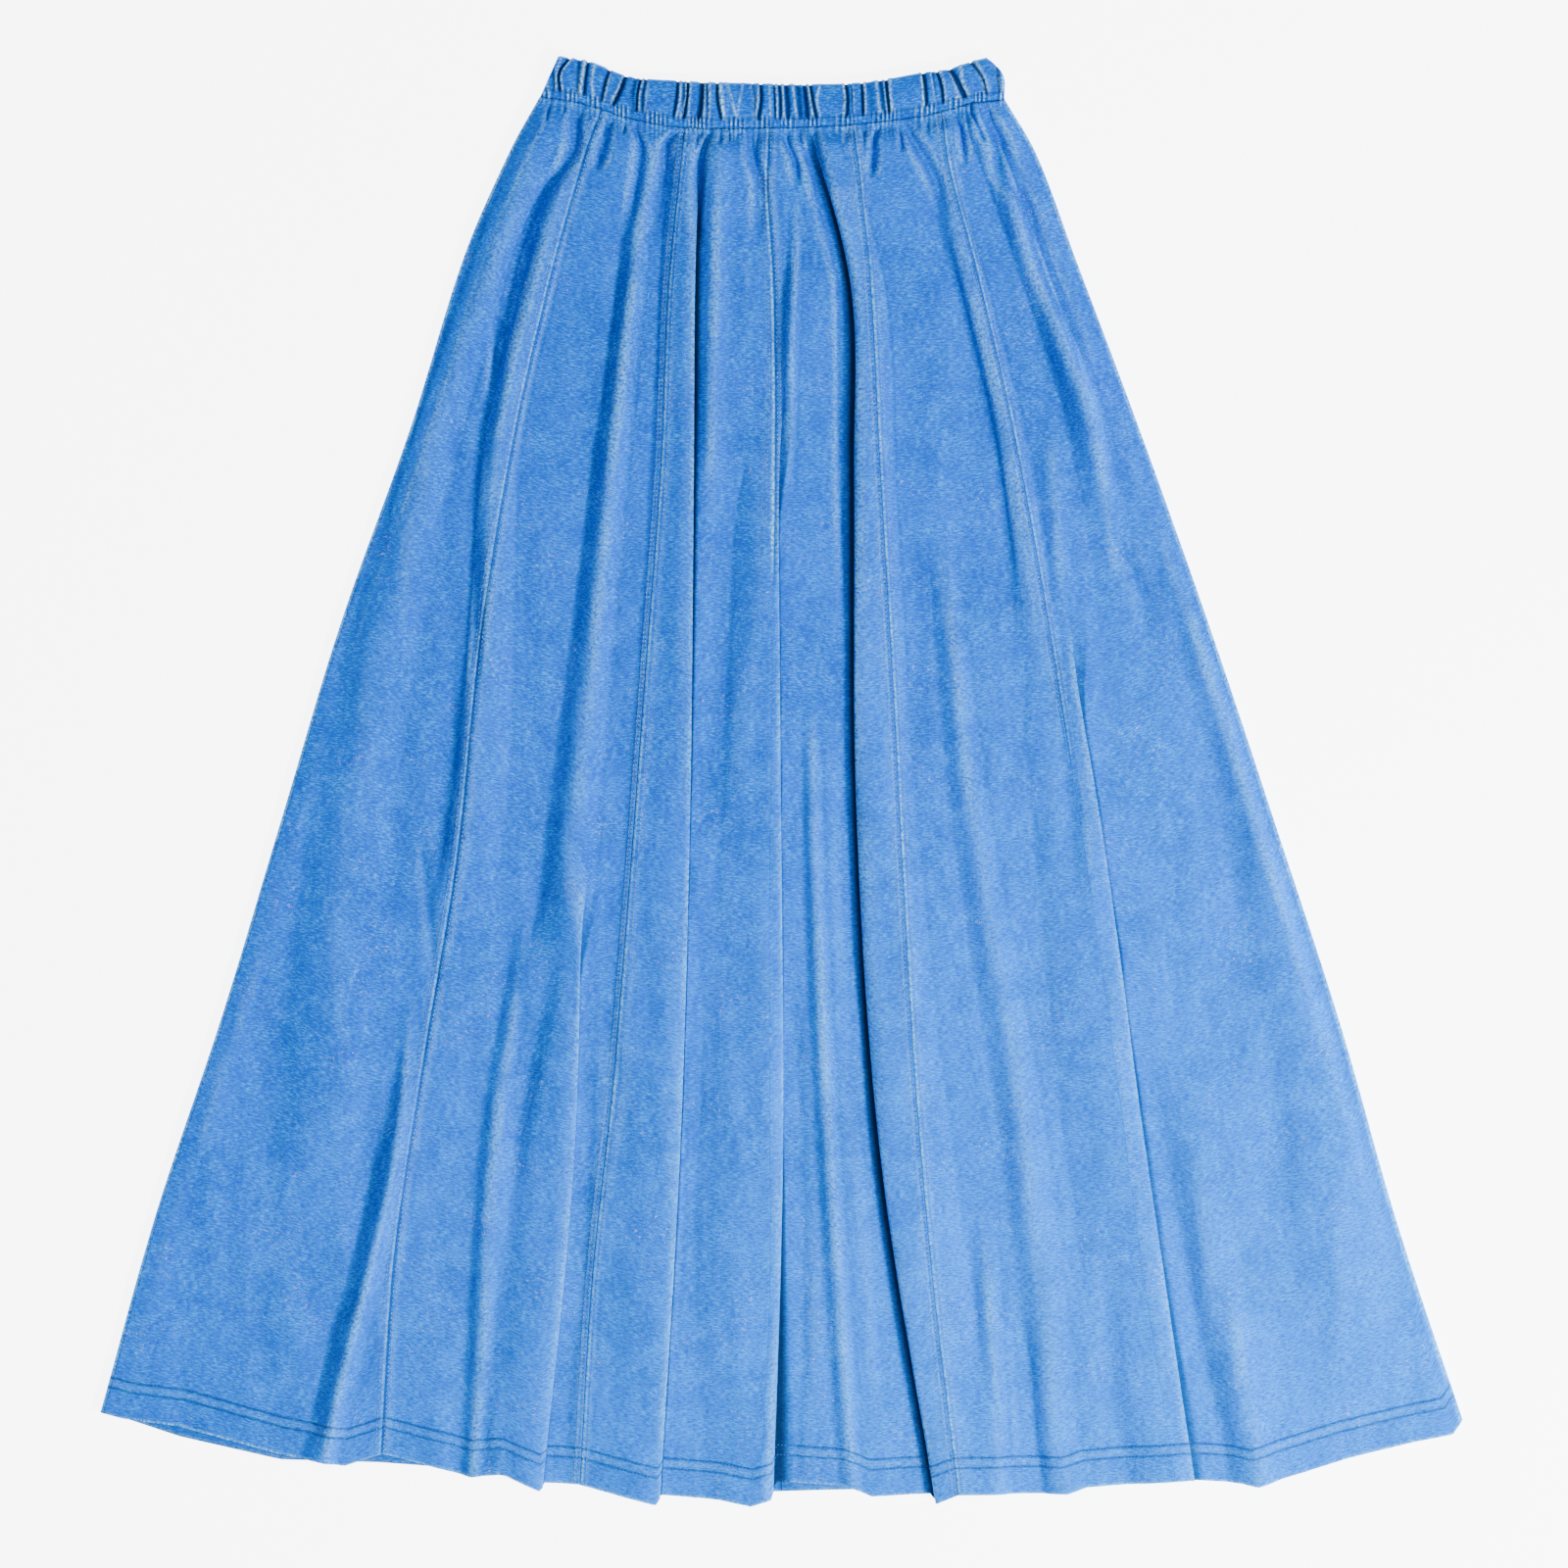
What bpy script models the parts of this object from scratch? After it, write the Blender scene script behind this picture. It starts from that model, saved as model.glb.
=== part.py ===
"""A maxi skirt laid flat on a table, seen from above: six front gores on six back gores, with a
gathered elastic casing at the waist.

+X is the skirt's right as it lies, +Y runs from the hem to the waist, +Z is up from the table.
The origin is on the table under the middle of the skirt. All sizes below are in millimetres.
"""

import math

import bmesh
import bpy
import numpy as np

MM = 0.001

# Cloth and sewing
WALL = 1.2  # one layer of cotton jersey
SEAM_GAP = 0.3  # between neighbouring pieces
HEM_DEPTH = 24.0  # turned up inside and stitched down
HEM_RISE = 0.5  # how far the doubled hem stands above the single cloth
CASING_WALL = 3.2  # cloth, elastic and cloth

LENGTH = 890.0  # from the casing to the hem down the centre front

# Levels of the layers, at the middle of each wall
BACK_LEVEL = WALL / 2
FRONT_LEVEL = WALL + SEAM_GAP + WALL / 2
WAIST_LIFT = 3.2  # the casing's thickness lifts the front there
WAIST_LIFT_LENGTH = 60.0
EDGE_LIFT = 2.4  # the cloth bends round at the side edges
EDGE_LIFT_WIDTH = 22.0
BEND_TURNS = (0, 50, 90, 130, 180)  # degrees round the bend, from under it to its top
UNDERLAP = 5.0  # the side gores reach this far round to the back
MIDDLE_Y = 0.6  # the middle of the whole length in the tables below, which becomes Y = 0

# Where the tables below are read: share of the way from the casing down to the hem
STATIONS = (0.0, 0.04, 0.12, 0.25, 0.40, 0.55, 0.70, 0.85, 1.0)

# The skirt's two side edges and the five front seams, X at each station
FRONT_LINES = {
    "left edge": (-158, -177, -207, -242, -288, -327, -366, -409, -445),
    "seam 1": (-109, -130, -150, -176, -197, -211, -233, -253, -262),
    "seam 2": (-59, -67, -74, -79, -89, -99, -110, -124, -132),
    "seam 3": (-7, -9, -5, -6, -8, -8, -8, -8, -15),
    "seam 4": (48, 51, 58, 64, 72, 79, 87, 99, 115),
    "seam 5": (101, 109, 128, 154, 178, 199, 218, 236, 257),
    "right edge": (146, 166, 192, 234, 280, 323, 365, 402, 445),
}

# Width of each gather along the casing, for each front gore from left to right
GATHERS = (
    (9, 6, 11, 3, 3, 13, 4),
    (6, 8, 5, 4, 19, 3, 4),
    (6, 4, 3, 4, 3, 4, 19, 3, 6),
    (4, 5, 6, 11, 3, 19, 3, 5),
    (4, 3, 8, 4, 3, 3, 18, 3, 6),
    (3, 4, 6, 5, 13, 4, 7, 3),
)

# Folds of the front: the crest's X at these shares of the length, the stretch it runs over,
# its height, its half width at the hem, and how far its crest leans over (+ to the right)
FOLD_STATIONS = (0.0, 0.25, 0.5, 0.75, 1.0)
FOLDS = {
    # name: (crest X at the five stations), from, to, height, half width, lean
    "gore 1 crest": ((-150, -226, -275, -300, -305), 0.00, 0.86, 7, 34, 0),
    "gore 1 by the seam": ((-131, -189, -206, -240, -262), 0.00, 0.66, 8, 22, -9),
    "gore 1 low crest": ((-200, -215, -225, -249, -302), 0.68, 1.40, 6, 22, 0),
    "gore 2 crest": ((-86, -111, -134, -156, -170), 0.02, 0.74, 8, 22, 0),
    "gore 2 narrow": ((-130, -140, -152, -187, -201), 0.56, 1.40, 7, 15, -5),
    "gore 2 lap": ((-131, -131, -130, -135, -156), 0.52, 1.60, 12, 21, 25),
    "gore 3 lap": ((-48, -55, -60, -66, -80), -0.03, 1.60, 13, 20, 24),
    "gore 4 top": ((12, 4, 2, 0, 0), 0.03, 0.30, 4, 12, 0),
    "seam 3 lap": ((-8, -2, 0, 1, -6), 0.24, 1.60, 12, 19, 23),
    "gore 4 low": ((20, 20, 21, 31, 46), 0.40, 1.50, 4, 12, 0),
    "seam 4 lap": ((19, 46, 48, 65, 101), -0.20, 1.60, 14, 19, -24),
    "gore 5 top": ((91, 147, 174, 190, 200), 0.02, 0.44, 7, 18, -7),
    "gore 5 middle": ((95, 101, 124, 160, 184), 0.28, 1.50, 7, 21, 0),
    "gore 5 low": ((100, 110, 122, 131, 142), 0.76, 1.50, 5, 14, 0),
    "seam 5 lap": ((104, 160, 203, 234, 267), 0.34, 1.60, 12, 21, 24),
    "gore 6 top": ((129, 207, 240, 260, 280), -0.10, 0.36, 9, 20, 8),
    "gore 6 crest": ((150, 240, 305, 350, 388), 0.30, 1.00, 6, 32, 0),
    "gore 6 low": ((150, 213, 262, 270, 307), 0.70, 1.40, 6, 20, 0),
}
FOLD_WIDTH_AT_WAIST = 0.42  # share of the half width and lean left at the casing
FOLD_OPEN = 0.8  # the folds reach their full width this far down
FOLD_START = 0.12  # each fold grows and dies away over these shares of the length
FOLD_END = 0.14
# A leaning fold in half widths from its foot line: it rises over the first, and falls away
# from the second's start over its length
LAP_RISE = 0.8
LAP_FALL = (-0.3, 1.6)
SLIDE_STEPS = 60  # a seam's place under a leaning fold is found by sliding it this often
SLIDE = 0.3

# Lines across the skirt: X, Y pairs from left to right
CASING_TOP = (
    (-146, 474), (-124, 470), (-101, 461), (-69, 458), (-11, 456), (41, 456), (69, 459),
    (91, 463), (107, 465), (123, 470), (134, 473),
)  # fmt: skip
CASING_FOOT = (
    (-158, 447), (-131, 443), (-99, 433), (-62, 427), (-7, 427), (45, 429), (93, 435),
    (126, 443), (146, 445),
)  # fmt: skip
FRONT_HEM = (
    (-445, -413), (-430, -417), (-394, -422), (-329, -440), (-286, -448), (-261, -440),
    (-203, -455), (-182, -453), (-158, -464), (-155, -459), (-133, -460), (-82, -473),
    (-79, -467), (-40, -470), (-20, -474), (-7, -470), (-4, -458), (43, -461), (59, -468),
    (98, -466), (101, -472), (115, -466), (187, -466), (200, -462), (266, -457),
    (301, -459), (311, -461), (342, -452), (370, -443), (411, -433), (439, -427),
    (445, -418),
)  # fmt: skip
BACK_HEM = (
    (-445, -413), (-430, -417), (-394, -429), (-328, -444), (-262, -446), (-170, -453),
    (-100, -459), (-5, -465), (30, -464), (144, -462), (232, -457), (300, -450),
    (370, -440), (439, -427), (445, -418),
)  # fmt: skip

# Rows of each gore's mesh, as shares of the length, closer at the gathers and the hem
ROWS = (
    0.0, 0.012, 0.03, 0.06, 0.10, 0.16, 0.23, 0.31, 0.39, 0.47, 0.55, 0.63, 0.71, 0.79,
    0.86, 0.92,
)  # fmt: skip
BACK_COLUMNS = 8
GORES = len(GATHERS)

# How the gathers stand at the casing, and how soon they die away below it
GATHER_SLOPE = 0.42  # a gather's height for its width
GATHER_MOST = 2.6
GATHER_FADE = 0.045
GATHER_SPREAD = 0.16  # the columns stand evenly from here down
NARROW_GATHER = 4  # up to this width a gather has one crest line, and past the next it has three
WIDE_GATHER = 15
FOLD_CLEAR_OF_EDGE = 14.0  # the folds die away this near the side edges
WAIST_FOLD = 0.35  # how far the folds have grown at the casing
WAIST_FOLD_GROWTH = 0.08
STITCH_HALF = 0.004  # the hem's step is spread over this share each side of its stitch line

# The casing, from its foot at the needle line up to its folded edge: how far up each row is,
# how full it is there, and how strongly the gathers show
CASING_ROWS = (
    # share up, fullness, gathers
    (0.0, 0.70, 1.0),
    (0.24, 0.78, 0.75),
    (0.50, 1.0, 1.0),
    (0.82, 0.92, 1.0),
    (1.0, 0.38, 0.6),
)
CASING_MIDDLE = CASING_WALL + SEAM_GAP / 2  # height of the gap between its two halves
CASING_END_WIDTH = 5.0  # its ends round away over this width
CASING_END_SHARE = 0.3  # and keep this share of its fullness at the very end
CASING_LEAST = 0.9
SLIT_DEPTH = 1.4  # under the skirt, the slits between gathers rise this far from the table
SLIT_RISE = 1.2  # a gather this high leaves no slit

CLOTH_BLUE = (0.072, 0.238, 0.603, 1.0)
CASING_BLUE = (0.055, 0.195, 0.540, 1.0)
ROUGHNESS = 0.92


def smooth(share):
    """Ease from 0 to 1, held at both ends."""
    share = min(max(share, 0.0), 1.0)
    return share * share * (3 - 2 * share)


def along(stations, values, v):
    """A table's value at v, on a smooth curve through its entries."""
    v = min(max(v, stations[0]), stations[-1])
    i = min(int(np.searchsorted(stations, v, side="right")) - 1, len(stations) - 2)
    step = stations[i + 1] - stations[i]
    t = (v - stations[i]) / step
    rise = values[i + 1] - values[i]
    before, after = max(i - 1, 0), min(i + 2, len(stations) - 1)
    start = (values[i + 1] - values[before]) / (stations[i + 1] - stations[before]) * step
    end = (values[after] - values[i]) / (stations[after] - stations[i]) * step
    return values[i] + t * (
        start + t * (3 * rise - 2 * start - end + t * (start + end - 2 * rise))
    )


def across(line, x):
    """Y of a line across the skirt at x, straight from point to point."""
    return float(np.interp(x, [p[0] for p in line], [p[1] for p in line]))


def curved_across(line, x):
    """Y of a line across the skirt at x, on a smooth curve."""
    return along([p[0] for p in line], [p[1] for p in line], x)


def front_line(index, v):
    return along(STATIONS, tuple(FRONT_LINES.values())[index], v)


def fold_at(fold, s, v):
    """The height and the sideways lean that one fold gives the cloth point at s."""
    crests, first, last, height, half_width, lean = fold
    strength = smooth((v - first) / FOLD_START) * smooth((last - v) / FOLD_END)
    if strength == 0.0:
        return 0.0, 0.0
    spread = FOLD_WIDTH_AT_WAIST + (1 - FOLD_WIDTH_AT_WAIST) * smooth(v / FOLD_OPEN)
    half_width *= spread
    lean *= spread
    side = 1 if lean >= 0 else -1
    t = (s - along(FOLD_STATIONS, crests, v) + lean * strength) / half_width * side
    bell = max(1 - t * t, 0.0) ** 2
    if lean == 0:
        return height * strength * bell, 0.0
    # The leading side rises early, and the cloth under the crest falls away late
    rise = smooth((t + 1) / LAP_RISE) * (1 - smooth((t - LAP_FALL[0]) / LAP_FALL[1]))
    return height * strength * rise, lean * strength * bell


def folded(s, v):
    """Height and lean of all the folds together at s."""
    both = [fold_at(fold, s, v) for fold in FOLDS.values()]
    return sum(b[0] for b in both), sum(b[1] for b in both)


def unleaned(x, v):
    """The cloth point whose place, once the folds lean, is x on the top of the folds."""
    s = x
    for _ in range(SLIDE_STEPS):
        s += SLIDE * (x - s - folded(s, v)[1])
    return s


def gather_columns(gore):
    """Shares of a gore's width where its gathers begin, crest and end, with each crest's rise."""
    widths = GATHERS[gore]
    total = sum(widths)
    shares, rises, start = [0.0], [0.0], 0.0
    for width in widths:
        rise = min(GATHER_SLOPE * width, GATHER_MOST)
        crests = (0.3, 0.7)
        if width <= NARROW_GATHER:
            crests = (0.5,)
        elif width >= WIDE_GATHER:
            crests = (0.2, 0.5, 0.8)
        for crest in crests:
            shares.append((start + crest * width) / total)
            rises.append(rise)
        start += width
        shares.append(start / total)
        rises.append(0.0)
    return shares, rises


def waist_lift(v):
    return WAIST_LIFT * math.exp(-v * LENGTH / WAIST_LIFT_LENGTH)


def edge_level(v):
    """Height of the front cloth where it turns down round a side edge."""
    return FRONT_LEVEL + EDGE_LIFT + waist_lift(v) / 2


def bend_radius(v):
    """Radius at which the front turns round a side edge and under to the back."""
    return (edge_level(v) - BACK_LEVEL) / 2


def front_place(s, v, rise):
    """The cloth point at s, before its Y is known: X and Z."""
    left, right = front_line(0, v), front_line(GORES, v)
    height, lean = folded(s, v)
    edge = min(s - left, right - s)
    near_edge = math.exp(-((max(edge, 0.0) / EDGE_LIFT_WIDTH) ** 2))
    level = FRONT_LEVEL + waist_lift(v)
    level += (edge_level(v) - level) * near_edge
    height *= smooth(edge / FOLD_CLEAR_OF_EDGE) * smooth(WAIST_FOLD + v / WAIST_FOLD_GROWTH)
    return s + lean, level + height + rise * math.exp(-v / GATHER_FADE)


def gore_y(x_at_waist, x_at_hem, v, hem_line):
    top = curved_across(CASING_FOOT, x_at_waist) - SEAM_GAP
    foot = across(hem_line, x_at_hem)
    return top + (foot - top) * v


def gore_rows():
    """The rows of a gore with both sides of the hem's stitch line and its edge added."""
    stitch = 1 - HEM_DEPTH / LENGTH
    return (*ROWS, stitch - STITCH_HALF, stitch + STITCH_HALF, 1.0)


def side_roll(v, edge, side):
    """Points from under the skirt, round its side edge and up to the top of the bend."""
    radius = bend_radius(v)
    centre = edge - side * radius
    under = [(centre - side * (UNDERLAP - radius), BACK_LEVEL)]
    return under + [
        (
            centre + side * radius * math.sin(math.radians(turn)),
            BACK_LEVEL + radius * (1 - math.cos(math.radians(turn))),
        )
        for turn in BEND_TURNS
    ]


def front_path(v):
    """The middle of the front's wall at v, from the left seam under the skirt to the right one:
    a list of (x, z) for each gore, neighbours meeting at their seam."""
    path = []
    for gore in range(GORES):
        shares, rises = gather_columns(gore)
        last = len(shares) - 1
        left, right = front_line(gore, v), front_line(gore + 1, v)
        start = left + bend_radius(v) if gore == 0 else unleaned(left, v)
        end = right - bend_radius(v) if gore == GORES - 1 else unleaned(right, v)
        settle = smooth(v / GATHER_SPREAD)
        row = []
        for j, (share, rise) in enumerate(zip(shares, rises)):
            share += (j / last - share) * settle
            row.append(front_place(start + share * (end - start), v, rise))
        if gore == 0:
            row = side_roll(v, left, -1) + row[1:]
        if gore == GORES - 1:
            row = row[:-1] + side_roll(v, right, 1)[::-1]
        path.append(row)
    return path


def front_section(v, thickness_out):
    """The outer and inner (x, z) of each gore's wall at v. Gores that meet share a seam's
    direction, so their edges stay parallel, half a seam gap back from it."""
    path = front_path(v)
    section = []
    for gore, row in enumerate(path):
        outer, inner = [], []
        for j, (x, z) in enumerate(row):
            at_first, at_last = j == 0, j == len(row) - 1
            before = row[j - 1] if j else path[gore - 1][-2] if gore else row[0]
            after = row[j + 1] if not at_last else row[j]
            if at_last and gore < GORES - 1:
                after = path[gore + 1][1]
            run = math.hypot(after[0] - before[0], after[1] - before[1])
            dx, dz = (after[0] - before[0]) / run, (after[1] - before[1]) / run
            shift = 0.0
            if at_first and gore > 0:
                shift = SEAM_GAP / 2
            if at_last and gore < GORES - 1:
                shift = -SEAM_GAP / 2
            x, z = x + shift * dx, z + shift * dz
            outer.append((x - dz * thickness_out, max(z + dx * thickness_out, 0.0)))
            inner.append((x + dz * WALL / 2, z - dx * WALL / 2))
        section.append((outer, inner))
    return section


def front_gore_grids():
    """Each front gore's outer and inner surface, as rows of points from waist to hem."""
    rows = gore_rows()
    stitch_row = len(rows) - 2
    sections = [
        front_section(v, WALL / 2 + (HEM_RISE if i >= stitch_row else 0.0))
        for i, v in enumerate(rows)
    ]
    grids = []
    for gore in range(GORES):
        waist, hem = sections[0][gore][0], sections[-1][gore][0]
        tops = [waist[j][0] for j in range(len(waist))]
        feet = [hem[j][0] for j in range(len(hem))]
        grids.append(
            [
                [
                    [
                        (x, gore_y(tops[j], feet[j], v, FRONT_HEM), z)
                        for j, (x, z) in enumerate(section[gore][face])
                    ]
                    for v, section in zip(rows, sections)
                ]
                for face in (0, 1)
            ]
        )
    return grids


def back_gore_grids(gore):
    """The two surfaces of a back gore, flat on the table."""

    def x_at(column, v):
        left = front_line(0, v) + UNDERLAP + SEAM_GAP
        right = front_line(GORES, v) - UNDERLAP - SEAM_GAP
        gap = {0: SEAM_GAP / 2, BACK_COLUMNS: -SEAM_GAP / 2}.get(column, 0.0)
        return left + (right - left) * (gore + column / BACK_COLUMNS) / GORES + gap

    return [
        [
            [
                (x_at(j, v), gore_y(x_at(j, 0.0), x_at(j, 1.0), v, BACK_HEM), level)
                for j in range(BACK_COLUMNS + 1)
            ]
            for v in gore_rows()
        ]
        for level in (WALL, 0.0)
    ]


def placed(point):
    """A point of the tables' frame, in metres about the middle of the skirt."""
    x, y, z = point
    return (x * MM, (y - MIDDLE_Y) * MM, z * MM)


def wall_mesh(name, outer, inner):
    """A closed wall: a grid moved to the outer surface and extruded to the inner one."""
    rows, columns = len(outer), len(outer[0])
    sheet = bmesh.new()
    bmesh.ops.create_grid(sheet, x_segments=columns - 1, y_segments=rows - 1, size=1)
    place = sheet.verts.layers.int.new("place")
    # A new grid's first row is its lowest, which is the hem
    outer_points = [point for row in outer[::-1] for point in row]
    inner_points = [point for row in inner[::-1] for point in row]
    for vertex, point in zip(sheet.verts, outer_points):
        vertex[place] = vertex.index
        vertex.co = placed(point)
    made = bmesh.ops.extrude_face_region(sheet, geom=list(sheet.faces), use_keep_orig=True)
    for vertex in made["geom"]:
        if isinstance(vertex, bmesh.types.BMVert):
            vertex.co = placed(inner_points[vertex[place]])
    bmesh.ops.recalc_face_normals(sheet, faces=list(sheet.faces))
    mesh = bpy.data.meshes.new(name)
    sheet.to_mesh(mesh)
    sheet.free()
    return mesh


def material(name, colour):
    surface = bpy.data.materials.new(name)
    surface.use_nodes = True
    shader = surface.node_tree.nodes["Principled BSDF"]
    shader.inputs["Base Color"].default_value = colour
    shader.inputs["Roughness"].default_value = ROUGHNESS
    shader.inputs["Metallic"].default_value = 0.0
    surface.diffuse_color = colour
    return surface


def add_piece(name, outer, inner, surface, collection):
    mesh = wall_mesh(name, outer, inner)
    mesh.materials.append(surface)
    mesh.shade_smooth()
    piece = bpy.data.objects.new(name, mesh)
    collection.objects.link(piece)


def casing_columns():
    """X along the casing's foot, from the left edge to the right, and each column's rise."""
    columns = []
    for gore in range(GORES):
        left, right = front_line(gore, 0.0), front_line(gore + 1, 0.0)
        for share, rise in zip(*gather_columns(gore)):
            x = left + share * (right - left)
            if not columns or x - columns[-1][0] > 0.01:
                columns.append((x, rise))
    return columns


def casing_grids(side):
    """Outer and inner surfaces of half the casing, side 1 on top and -1 on the table."""
    columns = casing_columns()
    first, last = columns[0][0], columns[-1][0]
    top_first, top_last = CASING_TOP[0][0], CASING_TOP[-1][0]
    outer, inner = [], []
    for up, fullness, gathered in CASING_ROWS:
        outer_row, inner_row = [], []
        for x, rise in columns:
            share = (x - first) / (last - first)
            top_x = top_first + share * (top_last - top_first)
            place_x = x + (top_x - x) * up
            foot = curved_across(CASING_FOOT, x)
            top = curved_across(CASING_TOP, top_x)
            end = min(min(x - first, last - x) / CASING_END_WIDTH, 1.0)
            rounded = math.sqrt(1 - (1 - end) ** 2)
            rounded = CASING_END_SHARE + (1 - CASING_END_SHARE) * rounded
            stand = (CASING_WALL * fullness + rise * gathered) * rounded
            if side < 0:
                # The table presses the gathers flat, so only their slits rise from it
                slit = SLIT_DEPTH * (1 - min(rise / SLIT_RISE, 1.0)) * gathered
                stand = min(CASING_MIDDLE * (fullness + CASING_END_SHARE) * rounded, CASING_MIDDLE)
                stand = max(stand - slit, CASING_LEAST)
            y = foot + (top - foot) * up
            outer_row.append((place_x, y, CASING_MIDDLE + side * stand))
            inner_row.append((place_x, y, CASING_MIDDLE + side * SEAM_GAP / 2))
        outer.append(outer_row)
        inner.append(inner_row)
    return outer[::-1], inner[::-1]


def build():
    for old in list(bpy.data.objects):
        bpy.data.objects.remove(old)
    skirt = bpy.data.collections.new("maxi_skirt")
    bpy.context.scene.collection.children.link(skirt)
    jersey = material("mineral_washed_jersey", CLOTH_BLUE)
    casing = material("gathered_casing", CASING_BLUE)
    for gore, (outer, inner) in enumerate(front_gore_grids()):
        add_piece(f"gore_front_{gore + 1}", outer, inner, jersey, skirt)
        add_piece(f"gore_back_{gore + 1}", *back_gore_grids(gore), jersey, skirt)
    add_piece("casing_front", *casing_grids(1), casing, skirt)
    add_piece("casing_back", *casing_grids(-1), casing, skirt)


build()
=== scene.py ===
"""The looks of a maxi skirt laid flat: mineral-washed cotton jersey in twelve gores, with an
elastic casing at the waist and a twin-needle hem. Tables are in millimetres, as in the CAD."""

import math

import bmesh
import bpy
import numpy as np
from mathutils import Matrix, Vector


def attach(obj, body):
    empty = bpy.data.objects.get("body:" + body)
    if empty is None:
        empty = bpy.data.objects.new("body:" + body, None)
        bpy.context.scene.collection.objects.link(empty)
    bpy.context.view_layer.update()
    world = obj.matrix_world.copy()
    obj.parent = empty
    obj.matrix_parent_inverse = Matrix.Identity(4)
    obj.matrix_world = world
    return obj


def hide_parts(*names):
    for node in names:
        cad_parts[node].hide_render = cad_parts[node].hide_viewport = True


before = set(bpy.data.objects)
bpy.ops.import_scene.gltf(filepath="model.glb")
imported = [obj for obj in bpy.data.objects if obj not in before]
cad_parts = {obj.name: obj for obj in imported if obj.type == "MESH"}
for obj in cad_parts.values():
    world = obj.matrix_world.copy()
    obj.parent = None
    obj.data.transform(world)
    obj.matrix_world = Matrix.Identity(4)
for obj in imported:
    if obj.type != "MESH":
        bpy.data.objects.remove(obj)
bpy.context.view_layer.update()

# Front gores
# Six flared panels of cotton single jersey, joined by seams that are topstitched on both
# sides. They lie on the back in long soft folds, gathered at the casing.
MM = 0.001
WALL = 1.2  # one layer of jersey
SEAM_GAP = 0.3  # between neighbouring solids
LENGTH = 890.0  # of a gore below the casing
HEM_DEPTH = 24.0
HEM_RISE = 0.5  # what the turned-up layer adds
BACK_LEVEL = WALL / 2
FRONT_LEVEL = WALL + SEAM_GAP + WALL / 2
WAIST_LIFT = 3.2  # the casing's bulk lifts the front
WAIST_LIFT_LENGTH = 60.0
EDGE_LIFT = 2.4  # and its bend lifts it at the sides
EDGE_LIFT_WIDTH = 22.0
UNDERLAP = 5.0  # the side gores reach this far round to the back
MIDDLE_Y = 0.6  # the middle of the tables' Y
STATIONS = (0.0, 0.04, 0.12, 0.25, 0.40, 0.55, 0.70, 0.85, 1.0)
FRONT_LINES = {
    "left edge": (-158, -177, -207, -242, -288, -327, -366, -409, -445),
    "seam 1": (-118, -130, -150, -176, -197, -211, -233, -253, -262),
    "seam 2": (-63, -67, -74, -79, -89, -99, -110, -124, -132),
    "seam 3": (-8, -9, -5, -4, -6, -8, -8, -8, -15),
    "seam 4": (46, 51, 58, 64, 72, 79, 87, 99, 115),
    "seam 5": (104, 109, 128, 154, 178, 199, 218, 236, 257),
    "right edge": (146, 166, 192, 234, 280, 323, 365, 402, 445),
}
GORES = len(FRONT_LINES) - 1
FOLD_STATIONS = (0.0, 0.12, 0.25, 0.5, 0.75, 1.0)
FOLDS = {
    # name: (crest X at the stations), from, to, height, half width, lean
    "gore 1 crest": ((-150, -188, -226, -275, -300, -305), 0.00, 0.86, 7, 34, 0),
    "gore 1 by the seam": ((-131, -161, -189, -206, -240, -262), 0.00, 0.66, 8, 22, -9),
    "gore 1 low crest": ((-200, -207, -215, -225, -249, -302), 0.68, 1.40, 6, 13, 0),
    "gore 2 crest": ((-86, -98, -111, -134, -156, -170), 0.02, 0.74, 8, 22, 0),
    "gore 2 narrow": ((-130, -135, -140, -152, -187, -201), 0.56, 1.40, 4, 10, 0),
    "gore 2 lap": ((-131, -131, -131, -132, -137, -158), 0.52, 1.60, 12, 16, 21),
    "gore 3 lap": ((-55, -58, -59, -62, -69, -82), -0.03, 1.60, 13, 20, 24),
    "gore 4 top": ((12, 8, 4, 2, 0, 0), 0.03, 0.30, 4, 12, 0),
    "seam 3 lap": ((-8, -6, -4, -2.5, -1.5, -7.5), 0.18, 1.60, 8, 19, 23),
    "gore 4 low": ((20, 20, 20, 21, 31, 46), 0.40, 1.50, 4, 9, 0),
    "seam 4 lap": ((20, 47, 49, 51, 67, 103), -0.05, 1.60, 14, 19, -24),
    "gore 5 top": ((91, 120, 147, 174, 190, 200), 0.02, 0.44, 7, 18, -7),
    "gore 5 middle": ((95, 97, 101, 124, 160, 184), 0.28, 1.50, 5, 17, 0),
    "gore 5 low": ((100, 105, 110, 122, 131, 142), 0.76, 1.50, 4, 10, 0),
    "seam 5 lap": ((104, 132, 160, 203, 234, 267), 0.34, 1.60, 12, 21, 24),
    "gore 6 top": ((129, 169, 207, 240, 260, 280), -0.10, 0.36, 9, 20, 8),
    "gore 6 crest": ((150, 195, 240, 305, 350, 388), 0.30, 1.00, 6, 32, 0),
    "gore 6 low": ((150, 181, 213, 262, 270, 307), 0.70, 1.40, 6, 20, 0),
}
FOLD_WIDTH_AT_WAIST = 0.42  # share of the half width and lean left at the casing
FOLD_OPEN = 0.8
FOLD_START = 0.12
FOLD_END = 0.14
LAP_RISE = (-1.25, 1.05)  # where it begins, and over how much, in half widths
LAP_FALL = (-0.3, 1.6)
LAP_LEAN = 20.0  # a fold that leans further is a lap
LAP_HEIGHT = 0.55  # laid flat, a lap stands lower than its solid
LAP_FOOT = 1.3  # where the cloth comes out from under a lap, in half widths
LAP_RIM = (0.13, 0.10)  # where the painted highlight along its edge lies, and the half width of that, in half widths
CREVICE_START = (0.35, 0.2)
CREVICE_FADE = 0.5
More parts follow.
